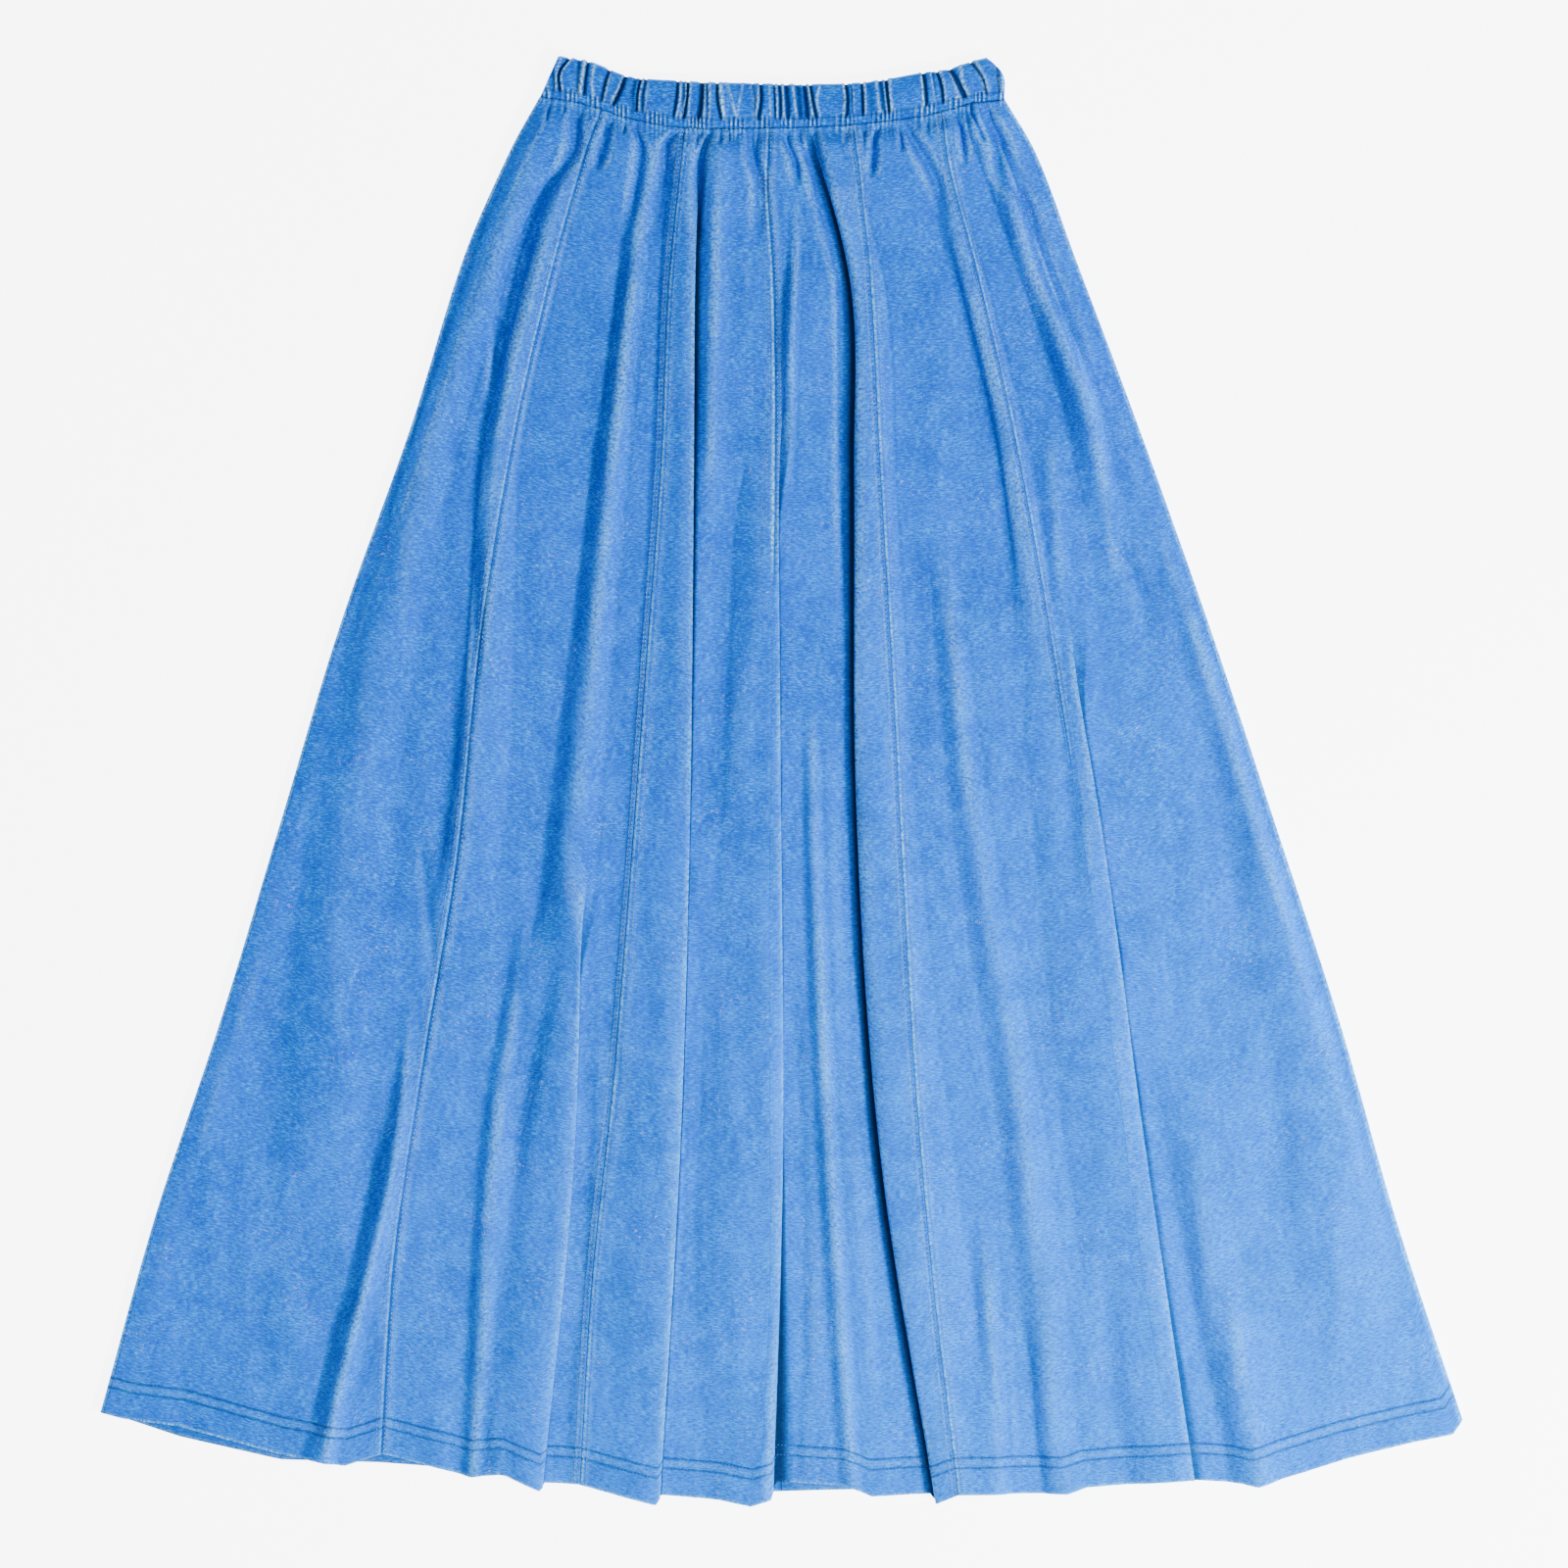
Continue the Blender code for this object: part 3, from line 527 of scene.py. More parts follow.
def front_gore(gore, v):
    """X and Z of a gore's grid, how pale it is from wear and painted highlights, and how dark from deep
    dye and painted shade.
    """
    left, right = front_line(gore, v), front_line(gore + 1, v)
    first_gore, last_gore = gore == 0, gore == GORES - 1
    start = left + bend_radius(v) if first_gore else unleaned(left, v, LAP_SIDE[gore])
    end = right - bend_radius(v) if last_gore else unleaned(right, v, LAP_SIDE[gore + 1])
    from_start, from_end = stretch(start, v), stretch(end, v)
    first, last = start + SEAM_STEPS / from_start, end - SEAM_STEPS[::-1] / from_end
    inner = np.linspace(0, 1, GORE_COLUMNS + 2)[1:-1]
    s = np.hstack([first, first[:, -1:] + (last[:, :1] - first[:, -1:]) * inner, last])
    far = np.full_like(s, NO_SEAM)
    from_left = far if first_gore else (s - start) * from_start
    from_right = far if last_gore else (end - s) * from_end
    rubbed_left, rubbed_right = max(SEAM_WORN[gore], 0), max(-SEAM_WORN[gore + 1], 0)
    x, z, rim, recess = front_place(s, v)
    # Crest paling is partly wear and partly painted highlight; valley darkening is painted shade
    paled, painted_valley_shade = crease_wear_and_painted_light(x, z)
    left_shows, right_shows = seam_shows(gore, v), seam_shows(gore + 1, v)
    shows = np.where(from_left < from_right, left_shows, right_shows)
    z = z + shows * seam_relief(np.minimum(from_left, from_right))
    puffs = smooth((pucker(s) - 0.1) / 0.6) * np.exp(-(((v * LENGTH - 1.0) / PUCKER_FADE) ** 2))
    # Paler: painted highlight on lap edges, wear on pucker crests, and crease crests partly worn and
    # partly painted highlight
    wear_and_highlight = np.maximum.reduce([RIM_HIGHLIGHT * rim, PUCKER_WORN * puffs, paled])
    dye_and_shade = np.maximum(recess, painted_valley_shade)
    seams = ((left_shows, from_left, rubbed_left), (right_shows, from_right, rubbed_right))
    for shown, distance, pale in seams:
        wear_and_highlight = np.maximum(wear_and_highlight, shown * worn_by_seam(distance, pale))
        dye_and_shade = np.maximum(dye_and_shade, shown * kept_by_seam(distance, pale))
    pieces = [(x, z, wear_and_highlight, dye_and_shade)]
    for at_end, line, side in ((first_gore, left, -1), (last_gore, right, 1)):
        if at_end:
            roll = side_roll(v, line, side)
            order = slice(None, None, -side)
            roll_x, roll_z = roll[0][:, order], roll[1][:, order]
            strip = (roll_x, roll_z, np.full_like(roll_x, EDGE_WORN), np.zeros_like(roll_x))
            pieces.insert(0 if side < 0 else 1, strip)
    return [np.hstack(parts) for parts in zip(*pieces)]


def hem_layers(wear_and_highlight, dye_and_shade, v):
    """The two layers with the hem's pale edge and its deeper needle lines added."""
    above = (1 - v) * LENGTH
    for line in (HEM_EDGE_WORN, BETWEEN_NEEDLES_WORN):
        wear_and_highlight = np.maximum(wear_and_highlight, soft_line(above, *line))
    for height in HEM_NEEDLES:
        dye_and_shade = np.maximum(dye_and_shade, soft_line(above, height, *NEEDLE_KEPT))
    inside = smooth((HEM_DEPTH - above) / 2)
    return wear_and_highlight, np.maximum(dye_and_shade, HEM_KEPT * inside)


def linear(hex_colour):
    """The linear colour of an sRGB hex value."""
    channels = [int(hex_colour[i : i + 2], 16) / 255 for i in (1, 3, 5)]
    return (
        *(c / 12.92 if c <= 0.04045 else ((c + 0.055) / 1.055) ** 2.4 for c in channels),
        1.0,
    )


def add_node(material, kind, settings=None, inputs=None, links=None):
    """A node with its settings, its input values, and links from other nodes' outputs."""
    node = material.node_tree.nodes.new(kind)
    for name, value in (settings or {}).items():
        setattr(node, name, value)
    for name, value in (inputs or {}).items():
        node.inputs[name].default_value = value
    for name, output in (links or {}).items():
        material.node_tree.links.new(output, node.inputs[name])
    return node


def dull_material(name, roughness, shine):
    """A material and its shader."""
    material = bpy.data.materials.new(name)
    material.use_nodes = True
    shader = material.node_tree.nodes["Principled BSDF"]
    shader.inputs["Roughness"].default_value = roughness
    shader.inputs["Specular IOR Level"].default_value = shine
    return material, shader


def washed_jersey(name, dye_and_shade, deep, blue, faded, pale, paled, blush):
    """Cotton single jersey, garment-dyed and mineral-washed: dull, with a fine nap, faded in
    soft clouds and short pale lines along its courses, and whitened along its seams by rubbing; its
    layers also paint highlights on crests and lap edges, and shade in valleys, slits and beside laps."""
    material, shader = dull_material(name, 0.95, 0.01)
    place = add_node(material, "ShaderNodeTexCoord").outputs["UV"]

    def noise(size_mm, detail, roughness, distortion=0.0, wide=1.0, high=1.0):
        """Noise with features of size_mm, times wide across and high along the cloth."""
        scale = (1000 / size_mm / wide, 1000 / size_mm / high, 1000 / size_mm)
        mapping = add_node(
            material, "ShaderNodeMapping", inputs={"Scale": scale}, links={"Vector": place}
        )
        values = {"Scale": 1.0, "Detail": detail, "Roughness": roughness, "Distortion": distortion}
        links = {"Vector": mapping.outputs["Vector"]}
        return add_node(material, "ShaderNodeTexNoise", inputs=values, links=links).outputs["Fac"]

    def mapped(value, low, high, to_low=0.0, to_high=1.0):
        values = {"From Min": low, "From Max": high, "To Min": to_low, "To Max": to_high}
        return add_node(
            material, "ShaderNodeMapRange", inputs=values, links={"Value": value}
        ).outputs["Result"]

    def math_node(operation, a, b):
        node = add_node(material, "ShaderNodeMath", {"operation": operation})
        for pin, value in zip(node.inputs, (a, b)):
            if isinstance(value, (int, float)):
                pin.default_value = value
            else:
                material.node_tree.links.new(value, pin)
        return node.outputs[0]

    def mixed(factor, a, b):
        """Colours a and b, hex values or nodes' outputs, mixed by a factor."""
        node = add_node(material, "ShaderNodeMix", {"data_type": "RGBA"})
        material.node_tree.links.new(factor, node.inputs[0])
        for pin, colour in ((node.inputs[6], a), (node.inputs[7], b)):
            if isinstance(colour, str):
                pin.default_value = linear(colour)
            else:
                material.node_tree.links.new(colour, pin)
        return node.outputs[2]

    def attribute(layer):
        return add_node(material, "ShaderNodeAttribute", {"attribute_name": layer}).outputs["Fac"]

    blotches = mapped(noise(50, 4, 0.6, 0.5, 1.0, 1.6), 0.38, 0.60)
    clouds = mapped(noise(17, 6, 0.68, 0.6), 0.40, 0.70)
    courses = noise(0.8, 2, 0.7, 0.3, 4.5, 1.0)
    colour = mixed(blotches, deep, blue)
    colour = mixed(mapped(clouds, 0, 1, 0, 0.75), colour, faded)
    # Deeper towards the upper left and paler towards the lower right
    links = {"Vector": add_node(material, "ShaderNodeTexCoord").outputs["Object"]}
    corner = add_node(material, "ShaderNodeVectorMath", {"operation": "DOT_PRODUCT"}, links=links)
    corner.inputs[1].default_value = (0.6, -0.8, 0.0)
    towards_lower_right = corner.outputs["Value"]
    colour = mixed(mapped(towards_lower_right, -0.45, 0.20, 0.6, 0.0), colour, deep)
    colour = mixed(mapped(towards_lower_right, -0.05, 0.50, 0.0, 0.26), colour, pale)
    # Flecks where the stones rubbed, a few millimetres across
    flecks = mapped(noise(2.6, 4, 0.8, 0.4, 1.4, 1.0), 0.52, 0.70, 0, 0.6)
    colour = mixed(math_node("MULTIPLY", flecks, mapped(clouds, 0, 1, 0.5, 1.1)), colour, pale)
    # Courses of the knit show as short lines, 3.6 mm by 0.8 mm, coarser than real ones
    colour = mixed(mapped(courses, 0.34, 0.51, 0.8, 0.0), colour, deep)
    lines = mapped(courses, 0.50, 0.65)
    light_lines = math_node("MULTIPLY", lines, mapped(clouds, 0, 1, 0.45, 1.0))
    colour = mixed(light_lines, colour, pale)
    # Loose rubbed fibres: thin curved hairs, broken up by a wider pattern
    hair_field = noise(11, 1, 0.5, 1.6)
    hair = mapped(math_node("ABSOLUTE", math_node("SUBTRACT", hair_field, 0.5), 0), 0.0, 0.012, 1, 0)
    hair = math_node("MULTIPLY", hair, mapped(noise(17, 2, 0.6), 0.54, 0.62, 0, 0.65))
    colour = mixed(hair, colour, pale)
    # Stone marks: small clusters with a pink cast
    marks = math_node(
        "MULTIPLY", mapped(noise(3.0, 4, 0.75), 0.59, 0.67, 0, 0.6), mapped(noise(38, 2, 0.5), 0.54, 0.66)
    )
    colour = mixed(marks, colour, blush)
    wear_and_highlight = math_node("MULTIPLY", attribute("wear_and_highlight"), mapped(noise(1.9, 2, 0.6), 0.42, 0.58, 0.08, 1))
    wear_and_highlight = math_node("MULTIPLY", wear_and_highlight, mapped(noise(45, 2, 0.5), 0.36, 0.60, 0.40, 1))
    # Paler from wear at seams, hems and casing, and from painted highlights on crease crests and lap
    # edges
    colour = mixed(wear_and_highlight, colour, paled)
    # Darkest colour: deep dye in seam grooves, stitches and hems, and painted shade in valleys, slits,
    # beside laps and on the back's hem
    colour = mixed(attribute("dye_and_shade"), colour, dye_and_shade)
    material.node_tree.links.new(colour, shader.inputs["Base Color"])

    # A fine nap, and slight wrinkles over it
    nap = add_node(
        material,
        "ShaderNodeBump",
        inputs={"Strength": 0.3, "Distance": 0.0005},
        links={"Height": noise(1.1, 3, 0.75, 0.0, 1.8, 1.0)},
    )
    wrinkles = add_node(
        material,
        "ShaderNodeBump",
        inputs={"Strength": 0.6, "Distance": 0.0016},
        links={"Height": noise(13, 4, 0.55, 0.5, 1.0, 2.0), "Normal": nap.outputs["Normal"]},
    )
    material.node_tree.links.new(wrinkles.outputs["Normal"], shader.inputs["Normal"])
    return material


def placed(points):
    """Points in the tables' millimetres, in the CAD's metres."""
    return (points - (0.0, MIDDLE_Y, 0.0)) * MM


def finished_piece(name, mesh, material):
    mesh.materials.append(material)
    mesh.shade_smooth()
    mesh.update()
    piece = bpy.data.objects.new(name, mesh)
    bpy.context.scene.collection.objects.link(piece)
    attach(piece, "root")
    return piece


def cloth_grid(name, points, wear_and_highlight, dye_and_shade, material, offset=0.0, flip=False):
    """A mesh of a grid of points (rows from the waist, columns, XYZ in millimetres), with the
    layers that its material reads and a UV map in metres along the cloth."""
    rows, columns = points.shape[:2]
    sheet = bmesh.new()
    bmesh.ops.create_grid(sheet, x_segments=columns - 1, y_segments=rows - 1, size=1)
    if flip:
        bmesh.ops.reverse_faces(sheet, faces=list(sheet.faces))
    mesh = bpy.data.meshes.new(name)
    sheet.to_mesh(mesh)
    sheet.free()
    # A new grid's first row is its lowest, which is the hem
    mesh.vertices.foreach_set("co", placed(points[::-1]).reshape(-1).astype(np.float32))
    for layer, values in (("wear_and_highlight", wear_and_highlight), ("dye_and_shade", dye_and_shade)):
        attribute = mesh.attributes.new(layer, "FLOAT", "POINT")
        spread = np.broadcast_to(values, (rows, columns))[::-1]
        attribute.data.foreach_set("value", spread.reshape(-1).astype(np.float32))
    step = np.diff(points, axis=1)
    u = np.hstack([np.zeros((rows, 1)), np.cumsum(np.hypot(step[..., 0], step[..., 2]), axis=1)])
    drop = np.abs(np.diff(points[..., 1], axis=0)).mean(axis=1)
    v = np.concatenate([[0], np.cumsum(drop)])[:, None] + np.zeros_like(u)
    uv = np.stack([u * MM + offset, v * MM + offset], axis=-1)[::-1].reshape(-1, 2)
    corners = np.empty(len(mesh.loops), np.int32)
    mesh.loops.foreach_get("vertex_index", corners)
    layer = mesh.uv_layers.new(name="cloth")
    layer.data.foreach_set("uv", uv[corners].reshape(-1).astype(np.float32))
    return finished_piece(name, mesh, material)


def with_wall(piece):
    wall = piece.modifiers.new("cloth", "SOLIDIFY")
    wall.thickness = WALL * MM
    wall.offset = 0.0


jersey = washed_jersey(
    "mineral_washed_jersey",
    # Near-black: deep dye in seam grooves and needle lines, and painted shade beside laps and in valleys
    dye_and_shade="#0A1930",
    deep="#0047B6",
    blue="#005CDA",
    faded="#0072EC",
    pale="#0D9AFF",
    # Pale: wear at seams and hems, and painted highlight on crests and lap edges
    paled="#86DFFF",
    blush="#B4B8F0",
)
FRONT_CLOTH_STEP = 0.37  # metres along the cloth from one gore to the next
front_grids = []

for gore in range(GORES):
    x, z, wear_and_highlight, dye_and_shade = front_gore(gore, GORE_ROWS)
    y = gore_y(x[:1], x[-1:], GORE_ROWS, FRONT_HEM)
    hem = smooth((GORE_ROWS - STITCH_V + HEM_STEP) / (2 * HEM_STEP))
    z = z + HEM_RISE / 2 * hem
    points = np.dstack([x, y, z])
    front_grids.append(points)
    wear_and_highlight, dye_and_shade = hem_layers(wear_and_highlight, dye_and_shade, GORE_ROWS)
    piece = cloth_grid(f"front_gore_{gore + 1}", points, wear_and_highlight, dye_and_shade, jersey, gore * FRONT_CLOTH_STEP)
    with_wall(piece)
    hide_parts(f"gore_front_{gore + 1}")

# Back gores
# The same six panels again, flat on the table under the front.
BACK_HEM = (
    (-445, -413), (-430, -417), (-394, -429), (-328, -444), (-262, -446), (-170, -453),
    (-100, -459), (-5, -465), (30, -464), (144, -462), (232, -457), (300, -450),
    (370, -440), (439, -427), (445, -418),
)
BACK_COLUMNS = 48
BACK_GROOVE = 0.25  # upwards, as the back's right side lies on the table
BACK_GAP = 0.02  # so narrow that no floor shows through
BACK_SEAM_WORN = 0.8
SHADED_HEM = 0.35  # painted shadow on the back's hem band beside the front's hem, as a share of the darkest colour
SHADED_HEM_SOFT = 60
BACK_CLOTH_START = 3  # metres, as in the front
BACK_CLOTH_STEP = 0.41
BACK_ROWS = np.concatenate(
    [np.linspace(0, NEAR_HEM, 90, endpoint=False), np.linspace(NEAR_HEM, 1, 12)]
)[:, None]
back_grids = []

for gore in range(GORES):
    left = front_line(0, BACK_ROWS) + UNDERLAP + SEAM_GAP
    right = front_line(GORES, BACK_ROWS) - UNDERLAP - SEAM_GAP
    width = (right - left) / GORES
    start, end = left + width * gore + BACK_GAP / 2, left + width * (gore + 1) - BACK_GAP / 2
    near = SEAM_STEPS - SEAM_STEPS[0]
    inner = np.linspace(0, 1, BACK_COLUMNS - 2 * len(near) + 2)[1:-1]
    first, last = start + near, end - near[::-1]
    x = np.hstack([first, first[:, -1:] + (last[:, :1] - first[:, -1:]) * inner, last])
    y = gore_y(x[:1], x[-1:], BACK_ROWS, BACK_HEM)
    distance = np.minimum(x - start, end - x)
    z = BACK_LEVEL + BACK_GROOVE * np.exp(-((distance / GROOVE_HALF) ** 2))
    points = np.dstack([x, y, z])
    back_grids.append(points)
    wear_and_highlight = np.maximum(
        worn_by_seam(x - start, BACK_SEAM_WORN) * (gore > 0),
        worn_by_seam(end - x, 0) * (gore < GORES - 1),
    ) * (BACK_ROWS < STITCH_V)
    wear_and_highlight, dye_and_shade = hem_layers(wear_and_highlight, kept_by_seam(distance, 0), BACK_ROWS)
    # Painted shadow on the back's hem, where the front's hem would shade it
    dye_and_shade = np.maximum(dye_and_shade, SHADED_HEM * smooth((BACK_ROWS - STITCH_V) * SHADED_HEM_SOFT))
    shift = BACK_CLOTH_START + gore * BACK_CLOTH_STEP
    piece = cloth_grid(f"back_gore_{gore + 1}", points, wear_and_highlight, dye_and_shade, jersey, shift)
    with_wall(piece)
    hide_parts(f"gore_back_{gore + 1}")

# Elastic casing
# The gores' top edges turned over 25 mm elastic and stitched round twice, so that the cloth
# stands in uneven puffs between sharp slits. Front and back halves lie on each other.
CASING_TOP = (
    (-146, 474), (-124, 470), (-101, 461), (-69, 458), (-11, 456), (41, 456), (69, 459),
    (91, 463), (107, 465), (123, 470), (134, 473),
)
CASING_WALL = 3.2  # cloth, elastic and cloth
CASING_MIDDLE = CASING_WALL + SEAM_GAP / 2  # height of the gap between its two halves
CASING_PROFILE_UP = (0.0, 0.12, 0.24, 0.50, 0.82, 0.94, 1.0)
CASING_FULLNESS = (0.70, 0.72, 0.86, 1.12, 1.06, 0.80, 0.34)
UPPER_NEEDLE = 0.205  # how far up the casing the second line of stitches is
LOWER_NEEDLE = 0.02
NEEDLE_HALF = 0.028
NEEDLE_DIP = 0.6
CASING_NEEDLE_KEPT = 0.45
CASING_PUCKER_WORN = 0.9
CASING_PUCKER_SHADE = 0.5
CASING_TOP_WORN = 0.5
SLIT_FULLY_DARK = 1.8  # a slit this deep is painted fully dark: painted shade over its deeper dye
RIDGE_PALE = 1.2
FRONT_PUFF = 1.6  # how much fuller the front is
CASING_LEAST = 0.9
CASING_CLOTH_START = 7
CASING_END_WIDTH = 5.0  # its ends round away over this width
CASING_END_SHARE = 0.3  # and keep this share of its fullness
ROUND_END = 6.0  # how far the casing's right end stands out of a straight line
casing_jersey = washed_jersey(
    "gathered_casing_jersey",
    # Near-black: painted shade in the slits and pucker hollows, and deep dye at the needle rows
    dye_and_shade="#001A48",
    deep="#0042AA",
    blue="#0055CC",
    faded="#006AE2",
    pale="#1098FA",
    paled="#A0E4FF",
    blush="#B4B8F0",
)


def casing_grid(side, columns, rows):
    """Outer and inner points of half the casing, from the top down, and its two layers."""
    foot_x = np.linspace(front_line(0, 0.0), front_line(GORES, 0.0), columns)[None, :]
    up = np.linspace(1, 0, rows)[:, None]
    share = (foot_x - foot_x[0, 0]) / (foot_x[0, -1] - foot_x[0, 0])
    top_x = CASING_TOP[0][0] + share * (CASING_TOP[-1][0] - CASING_TOP[0][0])
    bulge = ROUND_END * smooth((share - 0.9) / 0.1) * np.sin(math.pi * up**1.3)
    x = foot_x + (top_x - foot_x) * up + bulge
    relief, wear_and_highlight, dye_and_shade = (np.zeros_like(x) for _ in range(3))
    pinned = smooth((up - UPPER_NEEDLE + 0.06) / 0.10)
    for top, middle, foot, height, half_width, paled in GATHERS:
        centre = along(SLIT_STATIONS, (foot, middle, top), up)
        bell = np.exp(-(((x - centre) / half_width) ** 2)) * pinned
        relief += height * bell
        wear_and_highlight = np.maximum(wear_and_highlight, RIDGE_PALE * paled * bell)
        # Slits darker: painted shade over the deeper dye the wash left in them
        dye_and_shade = np.maximum(dye_and_shade, -height / SLIT_FULLY_DARK * bell)
    below_needle = 1 - smooth((up - UPPER_NEEDLE - 0.02) / 0.06)
    waves = pucker(x)
    relief += PUCKER_RISE * waves * below_needle
    crests, hollows = smooth((waves - 0.25) / 0.6), smooth((-waves - 0.2) / 0.6)
    wear_and_highlight = np.maximum(wear_and_highlight, CASING_PUCKER_WORN * crests * below_needle)
    # Pucker hollows darker: painted shade
    dye_and_shade = np.maximum(dye_and_shade, CASING_PUCKER_SHADE * hollows * below_needle)
    needle = sum(np.exp(-(((up - line) / NEEDLE_HALF) ** 2)) for line in (0.0, UPPER_NEEDLE))
    relief -= NEEDLE_DIP * needle
    dye_and_shade = np.maximum(dye_and_shade, CASING_NEEDLE_KEPT * needle)
    end = np.minimum(np.minimum(foot_x - foot_x[0, 0], foot_x[0, -1] - foot_x), CASING_END_WIDTH)
    rounded = np.sqrt(1 - (1 - end / CASING_END_WIDTH) ** 2)
    rounded = CASING_END_SHARE + (1 - CASING_END_SHARE) * rounded
    full = along(CASING_PROFILE_UP, CASING_FULLNESS, up)
    if side > 0:
        stand = (CASING_WALL * full + FRONT_PUFF * full + relief) * rounded
    else:
        stand = CASING_MIDDLE * (full + CASING_END_SHARE) * rounded
        stand = np.minimum(stand, CASING_MIDDLE) + np.minimum(relief, 0) * 0.5
    stand = np.maximum(stand, CASING_LEAST)
    foot, top = curved_across(CASING_FOOT, foot_x), curved_across(CASING_TOP, top_x)
    y = foot + (top - foot) * up + np.clip(relief, -1.5, 0.6) * 0.5 * smooth((up - 0.7) / 0.3)
    z = CASING_MIDDLE + side * stand
    inner = np.dstack([x, y, np.full_like(z, CASING_MIDDLE + side * SEAM_GAP / 2)])
    wear_and_highlight = np.maximum(wear_and_highlight, CASING_TOP_WORN * smooth((up - 0.93) / 0.07))
    return np.dstack([x, y, z]), inner, np.clip(wear_and_highlight, 0, 1), np.clip(dye_and_shade, 0, 0.9)


casing_grids = {}
for name, node, side, columns, rows in (
    ("front_casing", "casing_front", 1, 640, 38),
    ("back_casing", "casing_back", -1, 380, 14),
):
    outer, inner, wear_and_highlight, dye_and_shade = casing_grid(side, columns, rows)
    casing_grids[side] = outer
    shift = CASING_CLOTH_START + side
    piece = cloth_grid(name, outer, wear_and_highlight, dye_and_shade, casing_jersey, shift, flip=side < 0)
    sheet = bmesh.new()
    sheet.from_mesh(piece.data)
    targets = placed(inner[::-1]).reshape(-1, 3)
    order = sheet.verts.layers.int.new("order")
    for index, vertex in enumerate(sheet.verts):
        vertex[order] = index
    made = bmesh.ops.extrude_face_region(sheet, geom=list(sheet.faces), use_keep_orig=True)
    for vertex in made["geom"]:
        if isinstance(vertex, bmesh.types.BMVert):
            vertex.co = targets[vertex[order]]
    sheet.verts.layers.int.remove(order)
    bmesh.ops.recalc_face_normals(sheet, faces=list(sheet.faces))
    sheet.to_mesh(piece.data)
    sheet.free()
    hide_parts(node)

# Stitches
# Corespun polyester thread: a topstitch on each side of every seam, a twin-needle stitch
# round the hem and two rows round the casing, each sunk a little into the cloth.
SEAM_STITCH_COLUMNS = (4, 7)  # 1.6 mm and 3.7 mm from the seam
THREAD_HEIGHT = 0.35
STITCH_SUNK = 0.1  # the back's stitches lie this far in its cloth
ROLL_COLUMNS = ROLL_STEPS + 1


def thread(name, colour, worn_colour):
    """Dull twisted thread, paler where it is rubbed."""
    material, shader = dull_material(name, 0.7, 0.2)
    place = add_node(material, "ShaderNodeTexCoord").outputs["Object"]
    values = {"Scale": 160.0, "Detail": 3.0}
    patches = add_node(material, "ShaderNodeTexNoise", inputs=values, links={"Vector": place})
    ramp = add_node(material, "ShaderNodeValToRGB", links={"Fac": patches.outputs["Fac"]})
    stops = ((0.35, colour), (0.7, worn_colour))
    for element, (position, shade) in zip(ramp.color_ramp.elements, stops):
        element.position = position
        element.color = linear(shade)
    material.node_tree.links.new(ramp.outputs["Color"], shader.inputs["Base Color"])
    return material


def sewn(name, runs, pitch, length, width, material, slot):
    """Stitches as one mesh, set out along runs of surface points with their normals."""
    centres, forward, normal = [], [], []
    for points, normals in runs:
        arc = np.concatenate([[0], np.cumsum(np.linalg.norm(np.diff(points, axis=0), axis=1))])
        at = np.arange(pitch / 2, arc[-1], pitch)
        ahead = np.clip(at + 0.3, 0, arc[-1])
        behind = np.clip(at - 0.3, 0, arc[-1])

        def read(where, table):
            return np.stack([np.interp(where, arc, table[:, k]) for k in range(3)], axis=1)

        centres.append(read(at, points))
        forward.append(read(ahead, points) - read(behind, points))
        normal.append(read(at, normals))
    centres, forward, normal = (np.vstack(part) for part in (centres, forward, normal))
    forward /= np.linalg.norm(forward, axis=1)[:, None]
    normal /= np.linalg.norm(normal, axis=1)[:, None]
    sideways = np.cross(normal, forward)

    beads = bmesh.new()
    bmesh.ops.create_icosphere(beads, subdivisions=1, radius=0.5)
    shape = np.array([tuple(vertex.co) for vertex in beads.verts])
    count = len(centres)
    while len(beads.verts) < len(shape) * count:
        bmesh.ops.duplicate(beads, geom=beads.verts[:] + beads.edges[:] + beads.faces[:])
    extra = beads.verts[:][len(shape) * count :]
    bmesh.ops.delete(beads, geom=extra, context="VERTS")
    mesh = bpy.data.meshes.new(name)
    beads.to_mesh(mesh)
    beads.free()
    places = (
        centres[:, None, :]
        + forward[:, None, :] * shape[None, :, :1] * length
        + sideways[:, None, :] * shape[None, :, 1:2] * width
        + normal[:, None, :] * shape[None, :, 2:] * THREAD_HEIGHT
    )
    mesh.vertices.foreach_set("co", placed(places).reshape(-1).astype(np.float32))
    finished_piece(name, mesh, material)


def surface_normals(points):
    """Upward normals of a grid of points."""
    down, side = np.gradient(points, axis=0), np.gradient(points, axis=1)
    normals = np.cross(down, side)
    normals /= np.maximum(np.linalg.norm(normals, axis=2), 1e-9)[..., None]
    return normals * np.where(normals[..., 2:].mean() < 0, -1.0, 1.0)


def hem_row(points, height):
    """The grid's row nearest a height above the hem."""
    return int(np.argmin(np.abs(points[:, 0, 1] - points[-1, 0, 1] - height)))


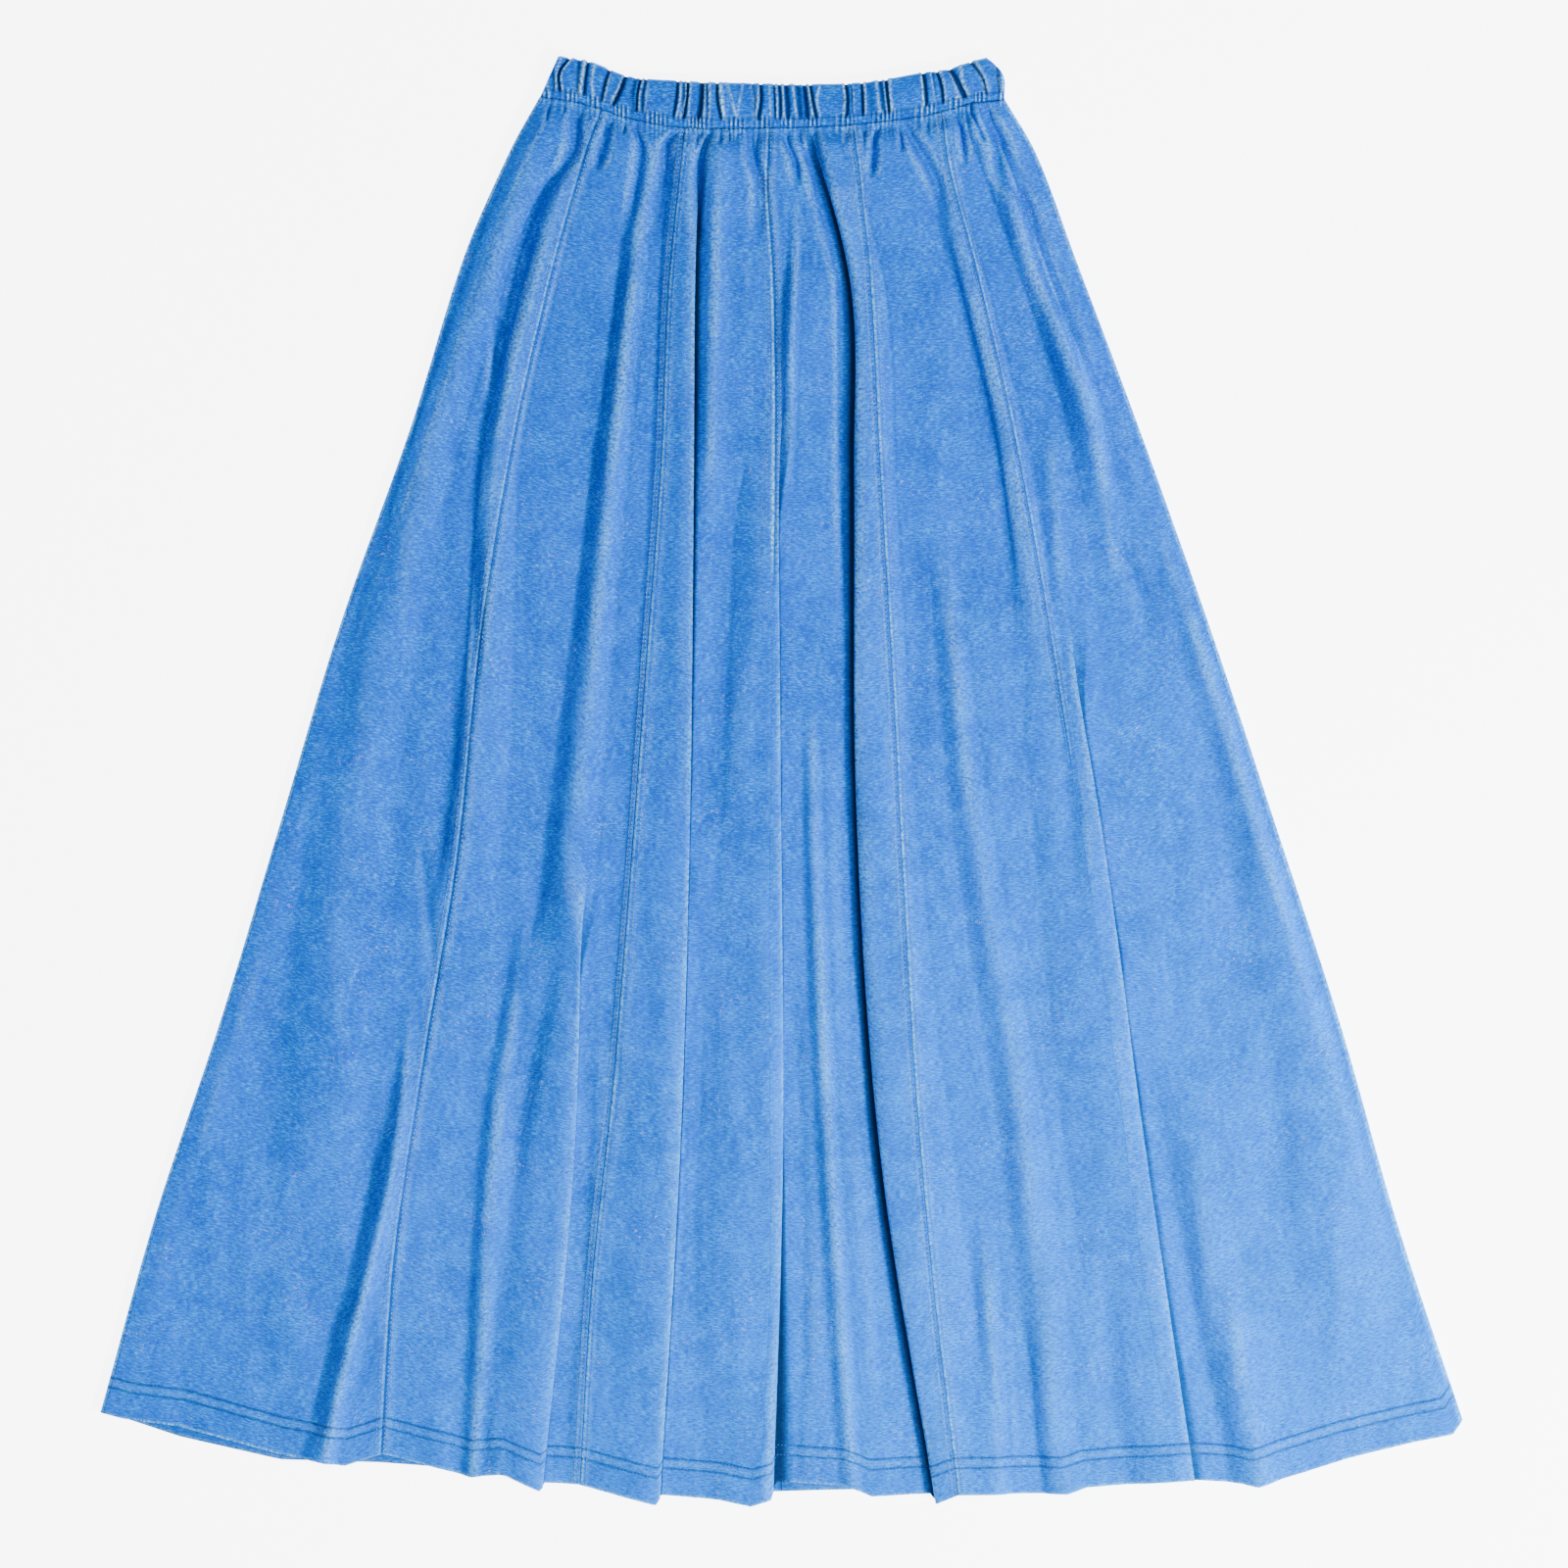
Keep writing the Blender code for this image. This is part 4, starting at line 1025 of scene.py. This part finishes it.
seam_thread = thread("seam_thread", "#1C5CC0", "#7FB0EC")
hem_thread = thread("hem_thread", "#0F4A9E", "#1C63C0")
seam_runs, hem_runs, casing_runs = [], [], []
for gore, points in enumerate(front_grids):
    up = surface_normals(points)
    on_top = points + up * WALL / 2
    for column in SEAM_STITCH_COLUMNS:
        if gore > 0:
            shown = GORE_ROWS[:, 0] < SEAM_SHOWS_TO[gore]
            seam_runs.append((on_top[shown, column], up[shown, column]))
        if gore < GORES - 1:
            shown = GORE_ROWS[:, 0] < SEAM_SHOWS_TO[gore + 1]
            seam_runs.append((on_top[shown, -1 - column], up[shown, -1 - column]))
    first = ROLL_COLUMNS if gore == 0 else 1
    last = ROLL_COLUMNS if gore == GORES - 1 else 1
    inside = slice(first, -last)
    for height in HEM_NEEDLES:
        row = hem_row(points, height)
        hem_runs.append((on_top[row, inside], up[row, inside]))
for points in back_grids:
    flat = np.zeros_like(points)
    flat[..., 2] = 1.0
    for height in HEM_NEEDLES:
        row = hem_row(points, height)
        for out in (flat[row], -flat[row]):
            hem_runs.append((points[row] + out * (WALL / 2 - STITCH_SUNK), out))
casing_front = casing_grids[1]
up = surface_normals(casing_front)
rows = casing_front.shape[0]
for line in (LOWER_NEEDLE, UPPER_NEEDLE):
    row = round((1 - line) * (rows - 1))
    casing_runs.append((casing_front[row, 4:-4], up[row, 4:-4]))
# Pitch, length and width of a stitch
SEAM_STITCH = (2.9, 2.0, 0.55)
HEM_STITCH = (2.3, 1.6, 0.7)
CASING_STITCH = (2.3, 1.5, 0.6)
sewn("seam_topstitching", seam_runs, *SEAM_STITCH, seam_thread, "washed_jersey")
sewn("hem_twin_needle", hem_runs, *HEM_STITCH, hem_thread, "washed_jersey")
sewn("casing_needle_rows", casing_runs, *CASING_STITCH, hem_thread, "casing_jersey")

# Floor, light and camera
# The photo is taken from straight above, on a pale floor, with light from the lower right.
FLOOR_SIZE = 12
FLOOR_LEVEL = -0.0005  # just under the skirt
bpy.ops.mesh.primitive_plane_add(size=FLOOR_SIZE, location=(0, 0, FLOOR_LEVEL))
floor = bpy.context.object
floor.name = "floor"
paper = bpy.data.materials.new("pale_floor")
paper.use_nodes = True
paper_shader = paper.node_tree.nodes["Principled BSDF"]
paper_shader.inputs["Base Color"].default_value = linear("#F6F7F8")
paper_shader.inputs["Roughness"].default_value = 0.9
# Lit white by a bright paper sweep, as a studio floor is
paper_shader.inputs["Emission Color"].default_value = (1.0, 1.0, 1.0, 1.0)
paper_shader.inputs["Emission Strength"].default_value = 6.0
floor.data.materials.append(paper)

world = bpy.data.worlds.new("soft_room")
world.use_nodes = True
world.node_tree.nodes["Background"].inputs["Color"].default_value = (1.0, 1.0, 1.0, 1.0)
world.node_tree.nodes["Background"].inputs["Strength"].default_value = 0.55
bpy.context.scene.world = world

LIGHTS = (
    # name, place, size, watts
    ("key_right", (1.55, -1.0, 1.45), 0.45, 130),
    ("fill_above", (0.3, 0.4, 4.0), 3.0, 65),
)
for name, place, size, watts in LIGHTS:
    lamp = bpy.data.lights.new(name, "AREA")
    lamp.size = size
    lamp.energy = watts
    light = bpy.data.objects.new(name, lamp)
    light.location = place
    light.rotation_euler = Vector(place).to_track_quat("Z", "Y").to_euler()
    bpy.context.scene.collection.objects.link(light)

VIEW_WIDTH = 1.024  # the photo's frame, at 0.64 mm a pixel
CAMERA_HEIGHT = 3.2
CAMERA_AT = (0.0016, -0.0026)
MEAN_LEVEL = 0.008
SENSOR = 36
lens = bpy.data.cameras.new("overhead")
lens.sensor_width = SENSOR
lens.lens = SENSOR * (CAMERA_HEIGHT - MEAN_LEVEL) / VIEW_WIDTH
camera = bpy.data.objects.new("overhead", lens)
camera.location = (*CAMERA_AT, CAMERA_HEIGHT)
bpy.context.scene.collection.objects.link(camera)
bpy.context.scene.camera = camera
